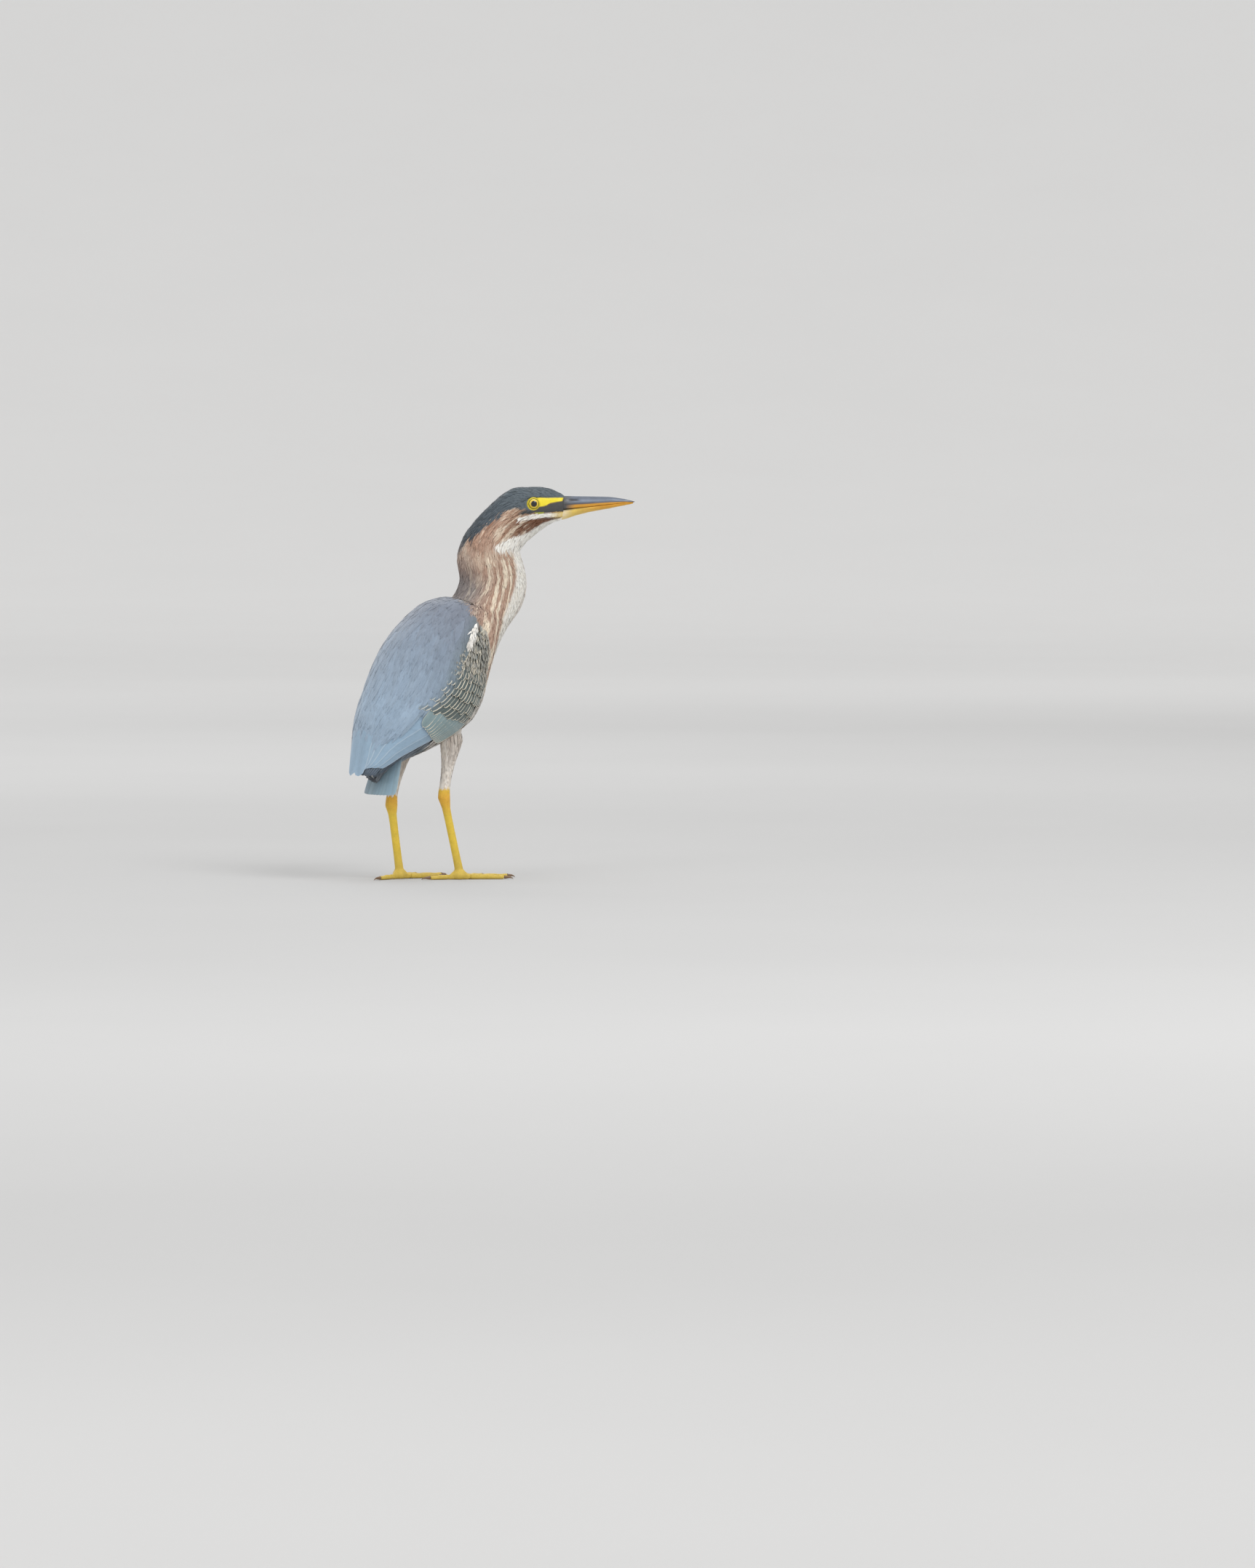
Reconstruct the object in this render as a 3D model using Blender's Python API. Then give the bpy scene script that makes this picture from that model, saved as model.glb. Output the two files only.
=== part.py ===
"""Green heron (Butorides virescens), life size, standing still on both feet.

The bird's body heads towards -Y, its left side is +X and +Z is up. It stands upright with its
neck half raised and its head turned to its own right. The body, neck and head are lofts through
sections named by a back point and a front point; wings, thighs and crest sit in beds cut into
them, and every solid keeps a small gap to the next. All sizes below are millimetres.
"""

import math

import bmesh
import bpy
from mathutils import Matrix, Vector

MM = 0.001
GAP = 0.3                       # clearance between neighbouring solids

# Body sections from rump to neck base: back (forward, up), front (forward, up), half width.
BODY_SECTIONS = (
    (-75, 96, -59, 89, 9),
    (-76.5, 109, -43, 96, 20),
    (-75, 124.5, -19, 105, 31.5),
    (-70.5, 142, 4, 114.5, 39.5),
    (-63, 160, 24, 126.5, 43.5),
    (-53.5, 179.5, 36, 143, 45),
    (-41, 199, 42, 163, 44),
    (-25.5, 215, 50, 182, 39.5),
    (-8, 228.5, 58.5, 195, 33),
    (12, 233, 67, 205.5, 26),
)
BODY_RINGS = 18
BODY_SIDES = 26

# Neck sections from its base to the throat: as above, then the turn to the bird's right.
TURN_CENTRE = 36                # forward place of the upright axis that the neck turns about
HEAD_TURN = 33                  # degrees
NECK_SECTIONS = (
    (19, 229.8, 67.3, 205.8, 24.5, 0),
    (24.5, 239, 79, 219, 21.5, 4),
    (26, 247, 83.5, 233, 19.5, 11),
    (24.5, 255, 82.5, 246, 18.2, 19),
    (23.3, 264, 78.8, 258, 17.2, 27),
    (25.5, 274.5, 75.5, 269.5, 16.3, 33),
)
NECK_SPLIT = 3                  # section where the neck is parted into its two lengths
NECK_RINGS = 7
NECK_SIDES = 22

# Head sections from the throat to the root of the bill, in the head's own median plane.
HEAD_SECTIONS = (
    (25.5, 274.5, 75.5, 269.5, 16.3),
    (32, 285.8, 80, 275.6, 15.8),
    (44.5, 300.2, 88.5, 283, 15.3),
    (59, 314, 95.5, 288.3, 15),
    (73, 321, 100.2, 291.3, 14),
    (85, 322.6, 103.5, 293, 12.4),
    (96, 322.3, 106.5, 294.2, 10.2),
    (104, 320.2, 109.5, 295, 8.3),
    (112, 315.6, 112, 295.4, 6.3),
)
HEAD_RINGS = 17
HEAD_SIDES = 24

# Crest: the long crown feathers that lie back over the nape.
CREST_SECTIONS = (
    (77, 323, 78, 318.5, 7.5),
    (65.5, 319.6, 67.5, 315, 9),
    (53.5, 309.7, 57.5, 305.5, 8.5),
    (42, 298.4, 46, 294.6, 6.8),
    (32.4, 287, 36.5, 284.6, 3.6),
    (28.6, 282, 30.5, 281.2, 1.4),
)

BILL_UPPER_SECTIONS = (
    (112.4, 315.1, 112.4, 304.1, 5.9),
    (121.7, 314.9, 121.7, 305.1, 5.0),
    (133.2, 314.7, 133.2, 306.2, 4.2),
    (150.4, 314.2, 150.4, 308.0, 2.9),
    (161.9, 312.6, 161.9, 309.3, 1.7),
    (170.2, 310.6, 170.2, 309.8, 0.5),
)
BILL_LOWER_SECTIONS = (
    (112.4, 303.7, 112.4, 295.7, 5.6),
    (121.7, 304.7, 121.7, 298.9, 4.6),
    (133.2, 305.8, 133.2, 301.8, 3.8),
    (150.4, 307.6, 150.4, 304.8, 2.6),
    (161.9, 308.9, 161.9, 307.1, 1.5),
    (169.2, 309.4, 169.2, 308.7, 0.5),
)
EYE_AT = (86.1, 8.9, 308.9)     # along the head, out to its side, up
EYE_RADIUS = 6.0

# Wing: it lies on the body's sections, and past the loins on these wider ones, rump to tips.
WING_SEAT = (
    (-83, 82, -68, 77, 14),
    (-79.5, 96, -58, 86, 19),
    (-77, 109, -45, 95, 24),
)
# Its edges, as degrees round the body from the back line, and its thickness, at places along
# the body: places count body sections from the rump, and the tips run on below zero.
WING_STATIONS = (
    (7.95, 78, 96, 1.5),
    (7.5, 62, 114, 3.6),
    (6.6, 52, 131, 5.2),
    (5.5, 44, 139, 5.6),
    (4.4, 34, 139, 5.2),
    (3.3, 23, 131, 4.6),
    (2.2, 13, 120, 3.6),
    (1.2, 8, 108, 2.8),
    (0.3, 7, 98, 2.2),
    (-0.3, 11, 93, 1.8),
    (-0.65, 28, 80, 1.5),
)
WING_PROUD = 1.5                # how far the wing stands out of the body's own outline
WING_RINGS = 17
WING_ACROSS = 9

# Tail: a thin roof of closed feathers, forward and up of each end, half width, half thickness.
TAIL_TOP = (-50, 105, 15, 2.0)
TAIL_TIP = (-58.5, 68.4, 24, 0.7)
TAIL_ROOF = 6                   # how far the middle stands above the edges

# Legs: forward, side (right is positive), up, radius along the body, radius across it.
RIGHT_THIGH = (
    (1.5, 19, 127, 13.4, 10.5),
    (0.8, 20.5, 117, 11.2, 9.4),
    (-0.6, 20.5, 106, 8.1, 7.4),
    (-2.4, 20, 94, 5.6, 5.2),
    (-4.4, 19.4, 82, 4.6, 4.3),
    (-5.6, 19, 73.3, 4.9, 4.2),
)
LEFT_THIGH = (
    (-14, -19, 123, 14, 10.5),
    (-17, -20.5, 112, 11.6, 9.6),
    (-21.5, -20.5, 100, 8.3, 7.6),
    (-26, -19.6, 87, 5.5, 5.2),
    (-30, -18.8, 75, 4.6, 4.3),
    (-32.4, -18.3, 66.3, 4.9, 4.2),
)
RIGHT_HEEL = (-5.8, 19, 67.5)
LEFT_HEEL = (-32.8, -18.2, 60.5)
RIGHT_FOOT = (10, 18)
LEFT_FOOT = (-25, -18)
HEEL_RADIUS = 5.3
SHANK_RADIUS = 3.3
ANKLE_RADIUS = 3.9
FOOT_TOP = 7.2
STUB_LENGTH = 9.6               # part of each toe that is one with the foot
# Foot: height, reach of its ball, reach of its lobes at that height.
FOOT_LEVELS = ((0, 4.4, 9.0), (1.6, 5.4, 9.6), (3.2, 5.6, 9.2), (4.6, 5.2, 6.8), (FOOT_TOP, 4, 4))
FOOT_SIDES = 30
LOBE_WIDTH = 15                 # degrees
FOOT_TURN = 8                   # degrees that each foot points outwards

# Toes: name, degrees inwards from the foot's heading, length to the claw.
TOES = (
    ("inner", 30, 34),
    ("middle", 2, 45),
    ("outer", -27, 37),
    ("hind", 172, 25),
)
TOE_RADIUS = 2.6
TOE_TIP_RADIUS = 1.7
CLAW_LENGTH = 7.5


def place(forward, side, up):
    """Bird directions (forward, right, up) in millimetres as a world point in metres."""
    return Vector((-side * MM, -forward * MM, up * MM))


def turned(point, degrees):
    """A (forward, side, up) point turned to the bird's right about the neck's axis."""
    forward, side, up = point
    angle = math.radians(degrees)
    ahead = forward - TURN_CENTRE
    return (
        TURN_CENTRE + ahead * math.cos(angle) - side * math.sin(angle),
        ahead * math.sin(angle) + side * math.cos(angle),
        up,
    )


def along(rows, place_on):
    """A smooth value (Catmull-Rom) at a place, counted in rows, through rows of numbers."""
    first = min(max(int(math.floor(place_on)), 0), len(rows) - 2)
    t = place_on - first
    here, there = rows[first], rows[first + 1]
    before = rows[first - 1] if first else [2 * a - b for a, b in zip(here, there)]
    last = first + 2 >= len(rows)
    after = [2 * b - a for a, b in zip(here, there)] if last else rows[first + 2]
    return [
        0.5 * (2 * b + (c - a) * t + (2 * a - 5 * b + 4 * c - d) * t * t
               + (3 * b - a - 3 * c + d) * t ** 3)
        for a, b, c, d in zip(before, here, there, after)
    ]


def rows_between(rows, first, last, count):
    """Count smooth rows from place first to place last."""
    return [along(rows, first + (last - first) * i / (count - 1)) for i in range(count)]


def power(value, exponent):
    return math.copysign(abs(value) ** exponent, value)


def oval(back_forward, back_up, front_forward, front_up, half_width, sides,
         roundness=(2.0, 2.0), grow=0.0):
    """A closed section: (forward, side, up) points round from the back point."""
    middle = Vector(((back_forward + front_forward) / 2, (back_up + front_up) / 2))
    reach = Vector((back_forward, back_up)) - middle
    reach *= (reach.length + grow) / reach.length
    ring = []
    for i in range(sides):
        angle = 2 * math.pi * i / sides
        exponent = 2 / (roundness[0] if math.cos(angle) > 0 else roundness[1])
        high = power(math.cos(angle), exponent)
        wide = power(math.sin(angle), exponent)
        ring.append((
            middle.x + reach.x * high, (half_width + grow) * wide, middle.y + reach.y * high,
        ))
    return ring


def collection(name):
    group = bpy.data.collections.new(name)
    bpy.context.scene.collection.children.link(group)
    return group


def make_material(name, colour, roughness):
    material = bpy.data.materials.new(name)
    material.use_nodes = True
    shader = material.node_tree.nodes["Principled BSDF"]
    shader.inputs["Base Color"].default_value = (*colour, 1)
    shader.inputs["Roughness"].default_value = roughness
    return material


def finish(name, mesh_data, group, material):
    """Close off a bmesh as a named, smooth-shaded object under the model's root."""
    bmesh.ops.recalc_face_normals(mesh_data, faces=mesh_data.faces)
    mesh = bpy.data.meshes.new(name)
    mesh_data.to_mesh(mesh)
    mesh_data.free()
    mesh.shade_smooth()
    mesh.set_sharp_from_angle(angle=math.radians(50))
    mesh.materials.append(material)
    piece = bpy.data.objects.new(name, mesh)
    group.objects.link(piece)
    piece.parent = ROOT
    return piece


def loft(name, rings, group, material):
    """A solid through rings of (forward, side, up) points, closed by a fan at each end.

    The sides are split into triangles the same way each time, so that a bed and what lies in
    it keep their gap.
    """
    solid = bmesh.new()
    loops = [[solid.verts.new(place(*point)) for point in ring] for ring in rings]
    for low, high in zip(loops, loops[1:]):
        for i in range(len(low)):
            j = (i + 1) % len(low)
            solid.faces.new((low[i], low[j], high[j]))
            solid.faces.new((low[i], high[j], high[i]))
    for loop in (loops[0], loops[-1]):
        centre = sum((vertex.co for vertex in loop), Vector()) / len(loop)
        hub = solid.verts.new(centre)
        for i in range(len(loop)):
            solid.faces.new((loop[i], loop[(i + 1) % len(loop)], hub))
    return finish(name, solid, group, material)


def shifted_ends(rings, distance):
    """Rings with both ends moved outwards along the loft by a distance."""
    def moved(ring, next_ring):
        here = sum((Vector(p) for p in ring), Vector()) / len(ring)
        there = sum((Vector(p) for p in next_ring), Vector()) / len(next_ring)
        step = (here - there).normalized() * distance
        return [tuple(Vector(p) + step) for p in ring]

    return [moved(rings[0], rings[1])] + rings[1:-1] + [moved(rings[-1], rings[-2])]


def as_cutter(piece):
    """Hide a solid that only shapes another one."""
    piece.hide_render = True
    piece.display_type = "WIRE"
    return piece


def boolean(piece, cutter, operation="DIFFERENCE"):
    modifier = piece.modifiers.new(cutter.name, "BOOLEAN")
    modifier.object = cutter
    modifier.operation = operation
    modifier.solver = "EXACT"


def trunk():
    count = len(BODY_SECTIONS) - 1
    rings = [
        oval(*along(BODY_SECTIONS, count * i / (BODY_RINGS - 1)), BODY_SIDES, (2.15, 2.05))
        for i in range(BODY_RINGS)
    ]
    return loft("trunk", rings, PARTS, PLUMAGE)


def wing_ring(place_on, top_angle, low_angle, thickness, side, bed):
    """Section of a folded wing: a thin lens that wraps the body's side."""
    seat = WING_SEAT + BODY_SECTIONS[2:]
    back_f, back_u, front_f, front_u, half_width = along(seat, place_on + 1)
    middle = Vector(((back_f + front_f) / 2, 0, (back_u + front_u) / 2))
    reach = Vector((back_f, 0, back_u)) - middle
    edge = math.degrees(GAP / half_width) if bed else 0
    top, low = top_angle - edge, low_angle + edge
    outer = WING_PROUD + (5 if bed else 0)
    inner = thickness - WING_PROUD + (GAP if bed else 0)

    def skin(fraction, lift):
        angle = math.radians(top + (low - top) * fraction)
        point = middle + reach * math.cos(angle) + Vector((0, half_width, 0)) * math.sin(angle)
        outward = (point - middle).normalized()
        swell = 1 - 0.8 * abs(2 * fraction - 1) ** 3
        spot = point + outward * lift * (1 if bed and lift > 0 else swell)
        return (spot.x, spot.y * side, spot.z)

    steps = [i / (WING_ACROSS - 1) for i in range(WING_ACROSS)]
    return [skin(s, outer) for s in steps] + [skin(s, -inner) for s in reversed(steps)]


def wing(name, side, bed=False):
    stations = rows_between(WING_STATIONS, 0, len(WING_STATIONS) - 1, WING_RINGS)
    rings = [wing_ring(*station, side, bed) for station in stations]
    if bed:
        return as_cutter(loft(name, shifted_ends(rings, GAP), CUTTERS, PLUMAGE))
    return loft(name, rings, PARTS, PLUMAGE)


def neck_piece(name, first, last):
    """A length of the neck, drawn in a little at each end to leave the gap."""
    rings = []
    for section in rows_between(NECK_SECTIONS, first, last, NECK_RINGS):
        ring = oval(*section[:5], NECK_SIDES, (2.1, 2.0))
        rings.append([turned(point, section[5]) for point in ring])
    return loft(name, shifted_ends(rings, -GAP / 2), PARTS, PLUMAGE)


def head_rings(sections, count, sides, roundness=(2.0, 2.0), grow=0.0):
    rings = []
    for section in rows_between(sections, 0, len(sections) - 1, count):
        ring = oval(*section, sides, roundness, grow)
        rings.append([turned(point, HEAD_TURN) for point in ring])
    return rings


def ball(name, centre, radius, group, material):
    """A sphere whose poles point out to the sides of the head."""
    solid = bmesh.new()
    spot = place(*turned(centre, HEAD_TURN))
    facing = Matrix.Rotation(math.radians(-HEAD_TURN), 4, "Z") @ Matrix.Rotation(math.pi / 2, 4, "Y")
    bmesh.ops.create_uvsphere(
        solid, u_segments=14, v_segments=9, radius=radius * MM,
        matrix=Matrix.Translation(spot) @ facing,
    )
    return finish(name, solid, group, material)


def head():
    rings = shifted_ends(head_rings(HEAD_SECTIONS, HEAD_RINGS, HEAD_SIDES, (2.2, 2.1)), -GAP / 2)
    skull = loft("head", rings, PARTS, PLUMAGE)
    crest_shape = (CREST_SECTIONS, 8, 12)
    loft("crest", head_rings(*crest_shape), PARTS, PLUMAGE)
    bed = shifted_ends(head_rings(*crest_shape, grow=GAP), GAP)
    boolean(skull, as_cutter(loft("crest_bed", bed, CUTTERS, PLUMAGE)))
    forward, out, up = EYE_AT
    for name, side in (("right", 1), ("left", -1)):
        centre = (forward, out * side, up)
        ball(f"eye_{name}", centre, EYE_RADIUS, PARTS, EYE)
        socket = ball(f"socket_{name}", centre, EYE_RADIUS + GAP, CUTTERS, EYE)
        boolean(skull, as_cutter(socket))


def bill():
    loft("bill_upper", head_rings(BILL_UPPER_SECTIONS, 9, 14, (1.9, 7)), PARTS, BILL)
    loft("bill_lower", head_rings(BILL_LOWER_SECTIONS, 9, 14, (7, 1.9)), PARTS, BILL)


def tail(name, grow, group):
    """Closed tail feathers as one thin roof-shaped plate."""
    rings = []
    across = 8
    for i in range(6):
        t = i / 5
        forward, up, half_width, half_thick = (
            a + (b - a) * t for a, b in zip(TAIL_TOP, TAIL_TIP)
        )
        round_tip = 1.5 * t ** 4
        ring = []
        for sign in (-1, 1):
            for k in range(across):
                x = (2 * k / (across - 1) - 1) * -sign
                arch = TAIL_ROOF * (1 - x * x) * (0.4 + 0.6 * t)
                lift = up + round_tip * x * x * 2
                ring.append((forward - arch + sign * (half_thick + grow),
                             (half_width + grow) * x, lift))
        rings.append(ring)
    return loft(name, shifted_ends(rings, grow), group, PLUMAGE)


def tube_rings(rows, sides, grow=0.0):
    """Level rings round a run of (forward, side, up, radius along, radius across)."""
    rings = []
    for forward, side, up, radius_along, radius_across in rows:
        rings.append([
            (forward + (radius_along + grow) * math.cos(2 * math.pi * i / sides),
             side + (radius_across + grow) * math.sin(2 * math.pi * i / sides), up)
            for i in range(sides)
        ])
    return rings


def toe_path(start, degrees, first, last, count):
    """Points of a toe's middle line with its radius, from near the foot to its tip."""
    direction = Vector((math.cos(math.radians(degrees)), math.sin(math.radians(degrees))))
    rows = []
    for i in range(count):
        reach = first + (last - first) * i / (count - 1)
        fraction = reach / last
        joint = 0.10 * math.cos(6 * math.pi * fraction)
        radius = (TOE_RADIUS + (TOE_TIP_RADIUS - TOE_RADIUS) * fraction) * (1 + joint)
        rows.append((Vector(start) + direction * reach, direction, radius))
    return rows


def flat_ring(spot, direction, up, radius, sides):
    """An upright ring across a toe, with what would pass the floor pressed flat."""
    across = Vector((-direction.y, direction.x))
    ring = []
    for i in range(sides):
        angle = 2 * math.pi * (i + 0.5) / sides
        sideways = across * radius * math.cos(angle)
        ring.append((spot.x + sideways.x, spot.y + sideways.y,
                     max(up + radius * math.sin(angle), 0)))
    return ring


def toe(name, start, degrees, length):
    rows = toe_path(start, degrees, STUB_LENGTH + GAP, length, 7)
    rings = [flat_ring(spot, way, 0.78 * radius, radius, 8) for spot, way, radius in rows]
    return loft(name, rings, PARTS, LEG)


def claw(name, start, degrees, length):
    """A curved, tapering claw that comes down to the floor at its tip."""
    way = Vector((math.cos(math.radians(degrees)), math.sin(math.radians(degrees))))
    rings = []
    for i in range(5):
        t = i / 4
        radius = 1.35 * (1 - t) ** 0.7 + 0.15
        reach = length + GAP + CLAW_LENGTH * t
        rise = 1.5 + 0.9 * math.sin(math.pi * t * 0.9) - 1.1 * t
        rings.append(flat_ring(Vector(start) + way * reach, way, rise, radius, 6))
    return loft(name, rings, PARTS, CLAW)


def foot(name, side, foot_at):
    """The ball of the foot, with a lobe towards each toe, flat on the floor."""
    rings = []
    for up, pad, lobe in FOOT_LEVELS:
        ring = []
        for i in range(FOOT_SIDES):
            heading = 360 * i / FOOT_SIDES
            reach = pad
            for _, inwards, _ in TOES:
                off = (heading - side * (FOOT_TURN - inwards) + 180) % 360 - 180
                reach = max(reach, pad + (lobe - pad) * math.exp(-((off / LOBE_WIDTH) ** 4)))
            angle = math.radians(heading)
            ring.append((foot_at[0] + reach * math.cos(angle),
                         foot_at[1] + reach * math.sin(angle), up))
        rings.append(ring)
    return loft(f"foot_{name}", rings, PARTS, LEG)


def leg(name, side, thigh_rows, heel, foot_at, body, wing_bed):
    thigh_smooth = rows_between(thigh_rows, 0, len(thigh_rows) - 1, 9)
    thigh = loft(f"thigh_{name}", tube_rings(thigh_smooth, 14), PARTS, PLUMAGE)
    bed = shifted_ends(tube_rings(thigh_smooth, 14, GAP), GAP)
    boolean(body, as_cutter(loft(f"thigh_{name}_bed", bed, CUTTERS, PLUMAGE)))
    boolean(thigh, wing_bed)

    heel_f, heel_s, heel_u = heel
    foot_f, foot_s = foot_at
    top = thigh_rows[-1][2] - GAP
    rows = [(thigh_rows[-1][0], thigh_rows[-1][1], top, 4.9, 4.2),
            (heel_f, heel_s, heel_u, HEEL_RADIUS, HEEL_RADIUS * 0.82)]
    levels = 6
    for i in range(levels + 1):
        t = 0.14 + 0.86 * i / levels
        swell = (abs(2 * t - 1.1)) ** 4
        radius = SHANK_RADIUS + (ANKLE_RADIUS - SHANK_RADIUS) * swell
        rows.append((heel_f + (foot_f - heel_f) * t, heel_s + (foot_s - heel_s) * t,
                     heel_u + (FOOT_TOP + GAP - heel_u) * t, radius, radius * 0.86))
    loft(f"shank_{name}", tube_rings(rows, 12), PARTS, LEG)

    foot(name, side, foot_at)
    for toe_name, inwards, length in TOES:
        degrees = side * (FOOT_TURN - inwards)
        toe(f"toe_{toe_name}_{name}", foot_at, degrees, length)
        claw(f"claw_{toe_name}_{name}", foot_at, degrees, length)


def centre_on_floor():
    """Stand the model on the floor with the middle of its box over the origin."""
    spots = [piece.matrix_world @ v.co for piece in PARTS.objects for v in piece.data.vertices]
    for axis in (0, 1):
        values = [spot[axis] for spot in spots]
        ROOT.location[axis] = -(min(values) + max(values)) / 2


for old in list(bpy.data.objects):
    bpy.data.objects.remove(old, do_unlink=True)

PARTS = collection("green_heron")
CUTTERS = collection("cutters")
PLUMAGE = make_material("plumage", (0.24, 0.30, 0.36), 0.8)
BILL = make_material("bill_horn", (0.35, 0.30, 0.12), 0.35)
EYE = make_material("eye", (0.75, 0.62, 0.05), 0.08)
LEG = make_material("leg_skin", (0.62, 0.45, 0.06), 0.5)
CLAW = make_material("claw_horn", (0.25, 0.16, 0.10), 0.4)
ROOT = bpy.data.objects.new("heron_root", None)
PARTS.objects.link(ROOT)

body = trunk()
beds = {}
for wing_name, wing_side in (("right", 1), ("left", -1)):
    wing(f"wing_{wing_name}", wing_side)
    beds[wing_name] = wing(f"wing_{wing_name}_bed", wing_side, bed=True)
    boolean(body, beds[wing_name])
neck_piece("neck_lower", 0, NECK_SPLIT)
neck_piece("neck_upper", NECK_SPLIT, len(NECK_SECTIONS) - 1)
head()
bill()
tail("tail", 0, PARTS)
boolean(body, as_cutter(tail("tail_bed", GAP, CUTTERS)))
leg("right", 1, RIGHT_THIGH, RIGHT_HEEL, RIGHT_FOOT, body, beds["right"])
leg("left", -1, LEFT_THIGH, LEFT_HEEL, LEFT_FOOT, body, beds["left"])
PARTS.objects.unlink(ROOT)
CUTTERS.objects.link(ROOT)
centre_on_floor()
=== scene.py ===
# %% [markdown]
# # A life-size green heron
#
# The bird stands still on both feet, its neck half raised and its head turned to its right.
# The frame holds its solids. This script covers them with one skin and a coat of solid feathers,
# and makes the bill, eyes, lids, legs and claws.
#
# Sizes are millimetres in the bird's own directions: forward, right and up. One small function
# turns them into the frame's metres, so every number can be read as a size on a real heron.

# %% Load the frame
import math

import bmesh
import bpy
import numpy as np
from mathutils import Matrix, Vector
from mathutils.bvhtree import BVHTree
from mathutils.kdtree import KDTree

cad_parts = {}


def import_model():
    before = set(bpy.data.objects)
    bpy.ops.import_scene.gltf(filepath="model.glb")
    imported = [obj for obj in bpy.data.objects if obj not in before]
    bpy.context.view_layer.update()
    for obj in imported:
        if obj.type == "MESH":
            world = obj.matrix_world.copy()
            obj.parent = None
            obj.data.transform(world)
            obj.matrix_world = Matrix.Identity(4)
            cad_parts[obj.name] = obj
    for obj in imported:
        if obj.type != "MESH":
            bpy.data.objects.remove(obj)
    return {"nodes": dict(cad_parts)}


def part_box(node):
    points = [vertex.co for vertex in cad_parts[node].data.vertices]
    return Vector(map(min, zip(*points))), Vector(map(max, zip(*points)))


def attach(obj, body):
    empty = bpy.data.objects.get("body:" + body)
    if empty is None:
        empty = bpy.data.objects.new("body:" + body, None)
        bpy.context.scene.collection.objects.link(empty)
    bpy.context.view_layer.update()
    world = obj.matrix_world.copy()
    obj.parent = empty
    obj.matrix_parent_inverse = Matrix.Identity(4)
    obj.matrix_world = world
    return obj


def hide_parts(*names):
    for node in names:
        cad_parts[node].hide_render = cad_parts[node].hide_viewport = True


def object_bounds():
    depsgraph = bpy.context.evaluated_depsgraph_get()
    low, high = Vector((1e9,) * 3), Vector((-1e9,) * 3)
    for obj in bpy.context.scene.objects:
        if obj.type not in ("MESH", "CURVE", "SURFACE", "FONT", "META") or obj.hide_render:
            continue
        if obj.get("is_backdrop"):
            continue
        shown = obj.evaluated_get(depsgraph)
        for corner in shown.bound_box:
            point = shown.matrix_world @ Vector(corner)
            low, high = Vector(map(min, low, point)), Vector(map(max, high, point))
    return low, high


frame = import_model()
CAD_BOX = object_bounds()
MM = 0.001
RANDOM = np.random.default_rng(7)
print("nodes", len(frame["nodes"]), "box", [tuple(round(c, 4) for c in corner) for corner in CAD_BOX])

# %% [markdown]
# The head and neck are turned to the bird's right about an upright axis at the front of the
# breast. `turned` does that turn, `world` places a point. The frame's two eyes say where the
# bird's own zero point lies: the middle between them is a known place on the head.

# %% From bird directions to the frame
NECK_AXIS = 36.0
HEAD_TURN = 33.0
EYE_AHEAD, EYE_OUT, EYE_UP, EYE_RADIUS = 86.1, 8.9, 308.9, 6.0


def turned(ahead, right, degrees):
    """Forward and right places after a turn to the right about the neck's axis."""
    angle = np.radians(degrees)
    reach = ahead - NECK_AXIS
    return (NECK_AXIS + reach * np.cos(angle) - right * np.sin(angle),
            reach * np.sin(angle) + right * np.cos(angle))


def middle_of(node):
    low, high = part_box(node)
    return (np.array(low) + np.array(high)) / 2


EYE_FORWARD, EYE_RIGHT = turned(EYE_AHEAD, 0.0, HEAD_TURN)
EYE_MIDDLE = (middle_of("eye_left") + middle_of("eye_right")) / 2
ZERO = EYE_MIDDLE - np.array([-EYE_RIGHT, -EYE_FORWARD, EYE_UP]) * MM


def world(forward, right, up):
    forward, right, up = np.broadcast_arrays(forward, right, up)
    return np.stack([-right, -forward, up], axis=-1) * MM + ZERO


def head_point(ahead, right, up):
    """A point given in the head's own plane, as if the head weren't turned."""
    forward, side = turned(np.asarray(ahead, float), np.asarray(right, float), HEAD_TURN)
    return world(forward, side, up)


def head_plane(points):
    """Ahead, right and up of points on the head, as if it weren't turned."""
    local = (points - ZERO) / MM
    forward, right = -local[:, 1], -local[:, 0]
    angle = math.radians(HEAD_TURN)
    reach = (forward - NECK_AXIS) * math.cos(angle) + right * math.sin(angle)
    side = -(forward - NECK_AXIS) * math.sin(angle) + right * math.cos(angle)
    return np.stack([NECK_AXIS + reach, side, local[:, 2]], -1)


print("zero point", np.round(ZERO, 5))

# %% [markdown]
# Feathers grow along the body in streams from bill to tail. So the coat is laid out on a map of
# the body: `t` runs along the spine in millimetres, and an angle runs round it from the back
# line, positive on the right. The spine is a smooth curve through a few points inside the bird.
# Each row gives forward, up, the turn there, and how far out the body may reach.

# %% The spine
SPINE = np.array([
    (-77.5, 77.0, 0, 30), (-68.5, 91, 0, 36), (-60, 102.5, 0, 44), (-47, 115, 0, 54),
    (-33, 128.5, 0, 60), (-20, 143.5, 0, 64), (-9, 161.5, 0, 64), (1, 181, 0, 62),
    (13, 199, 0, 60), (24, 214, 0, 58), (35, 226, 3, 50), (44, 236, 9, 44), (49, 246, 15, 40),
    (51, 256, 22, 36), (51.5, 266, 29, 33), (54, 276.5, 33, 31), (60.5, 286.5, 33, 29),
    (69.5, 295.5, 33, 27), (80, 302, 33, 25), (90, 305.5, 33, 23), (100, 306.3, 33, 21),
    (111.5, 305.5, 33, 18),
])
T_STEPS, A_STEPS = 300, 144
CURVE_STEPS = 2000
TRUNK_END = 13.0               # where the rump ends and only wing tips go on
HEAD_END = 309.5               # where the face meets the bill


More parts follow.
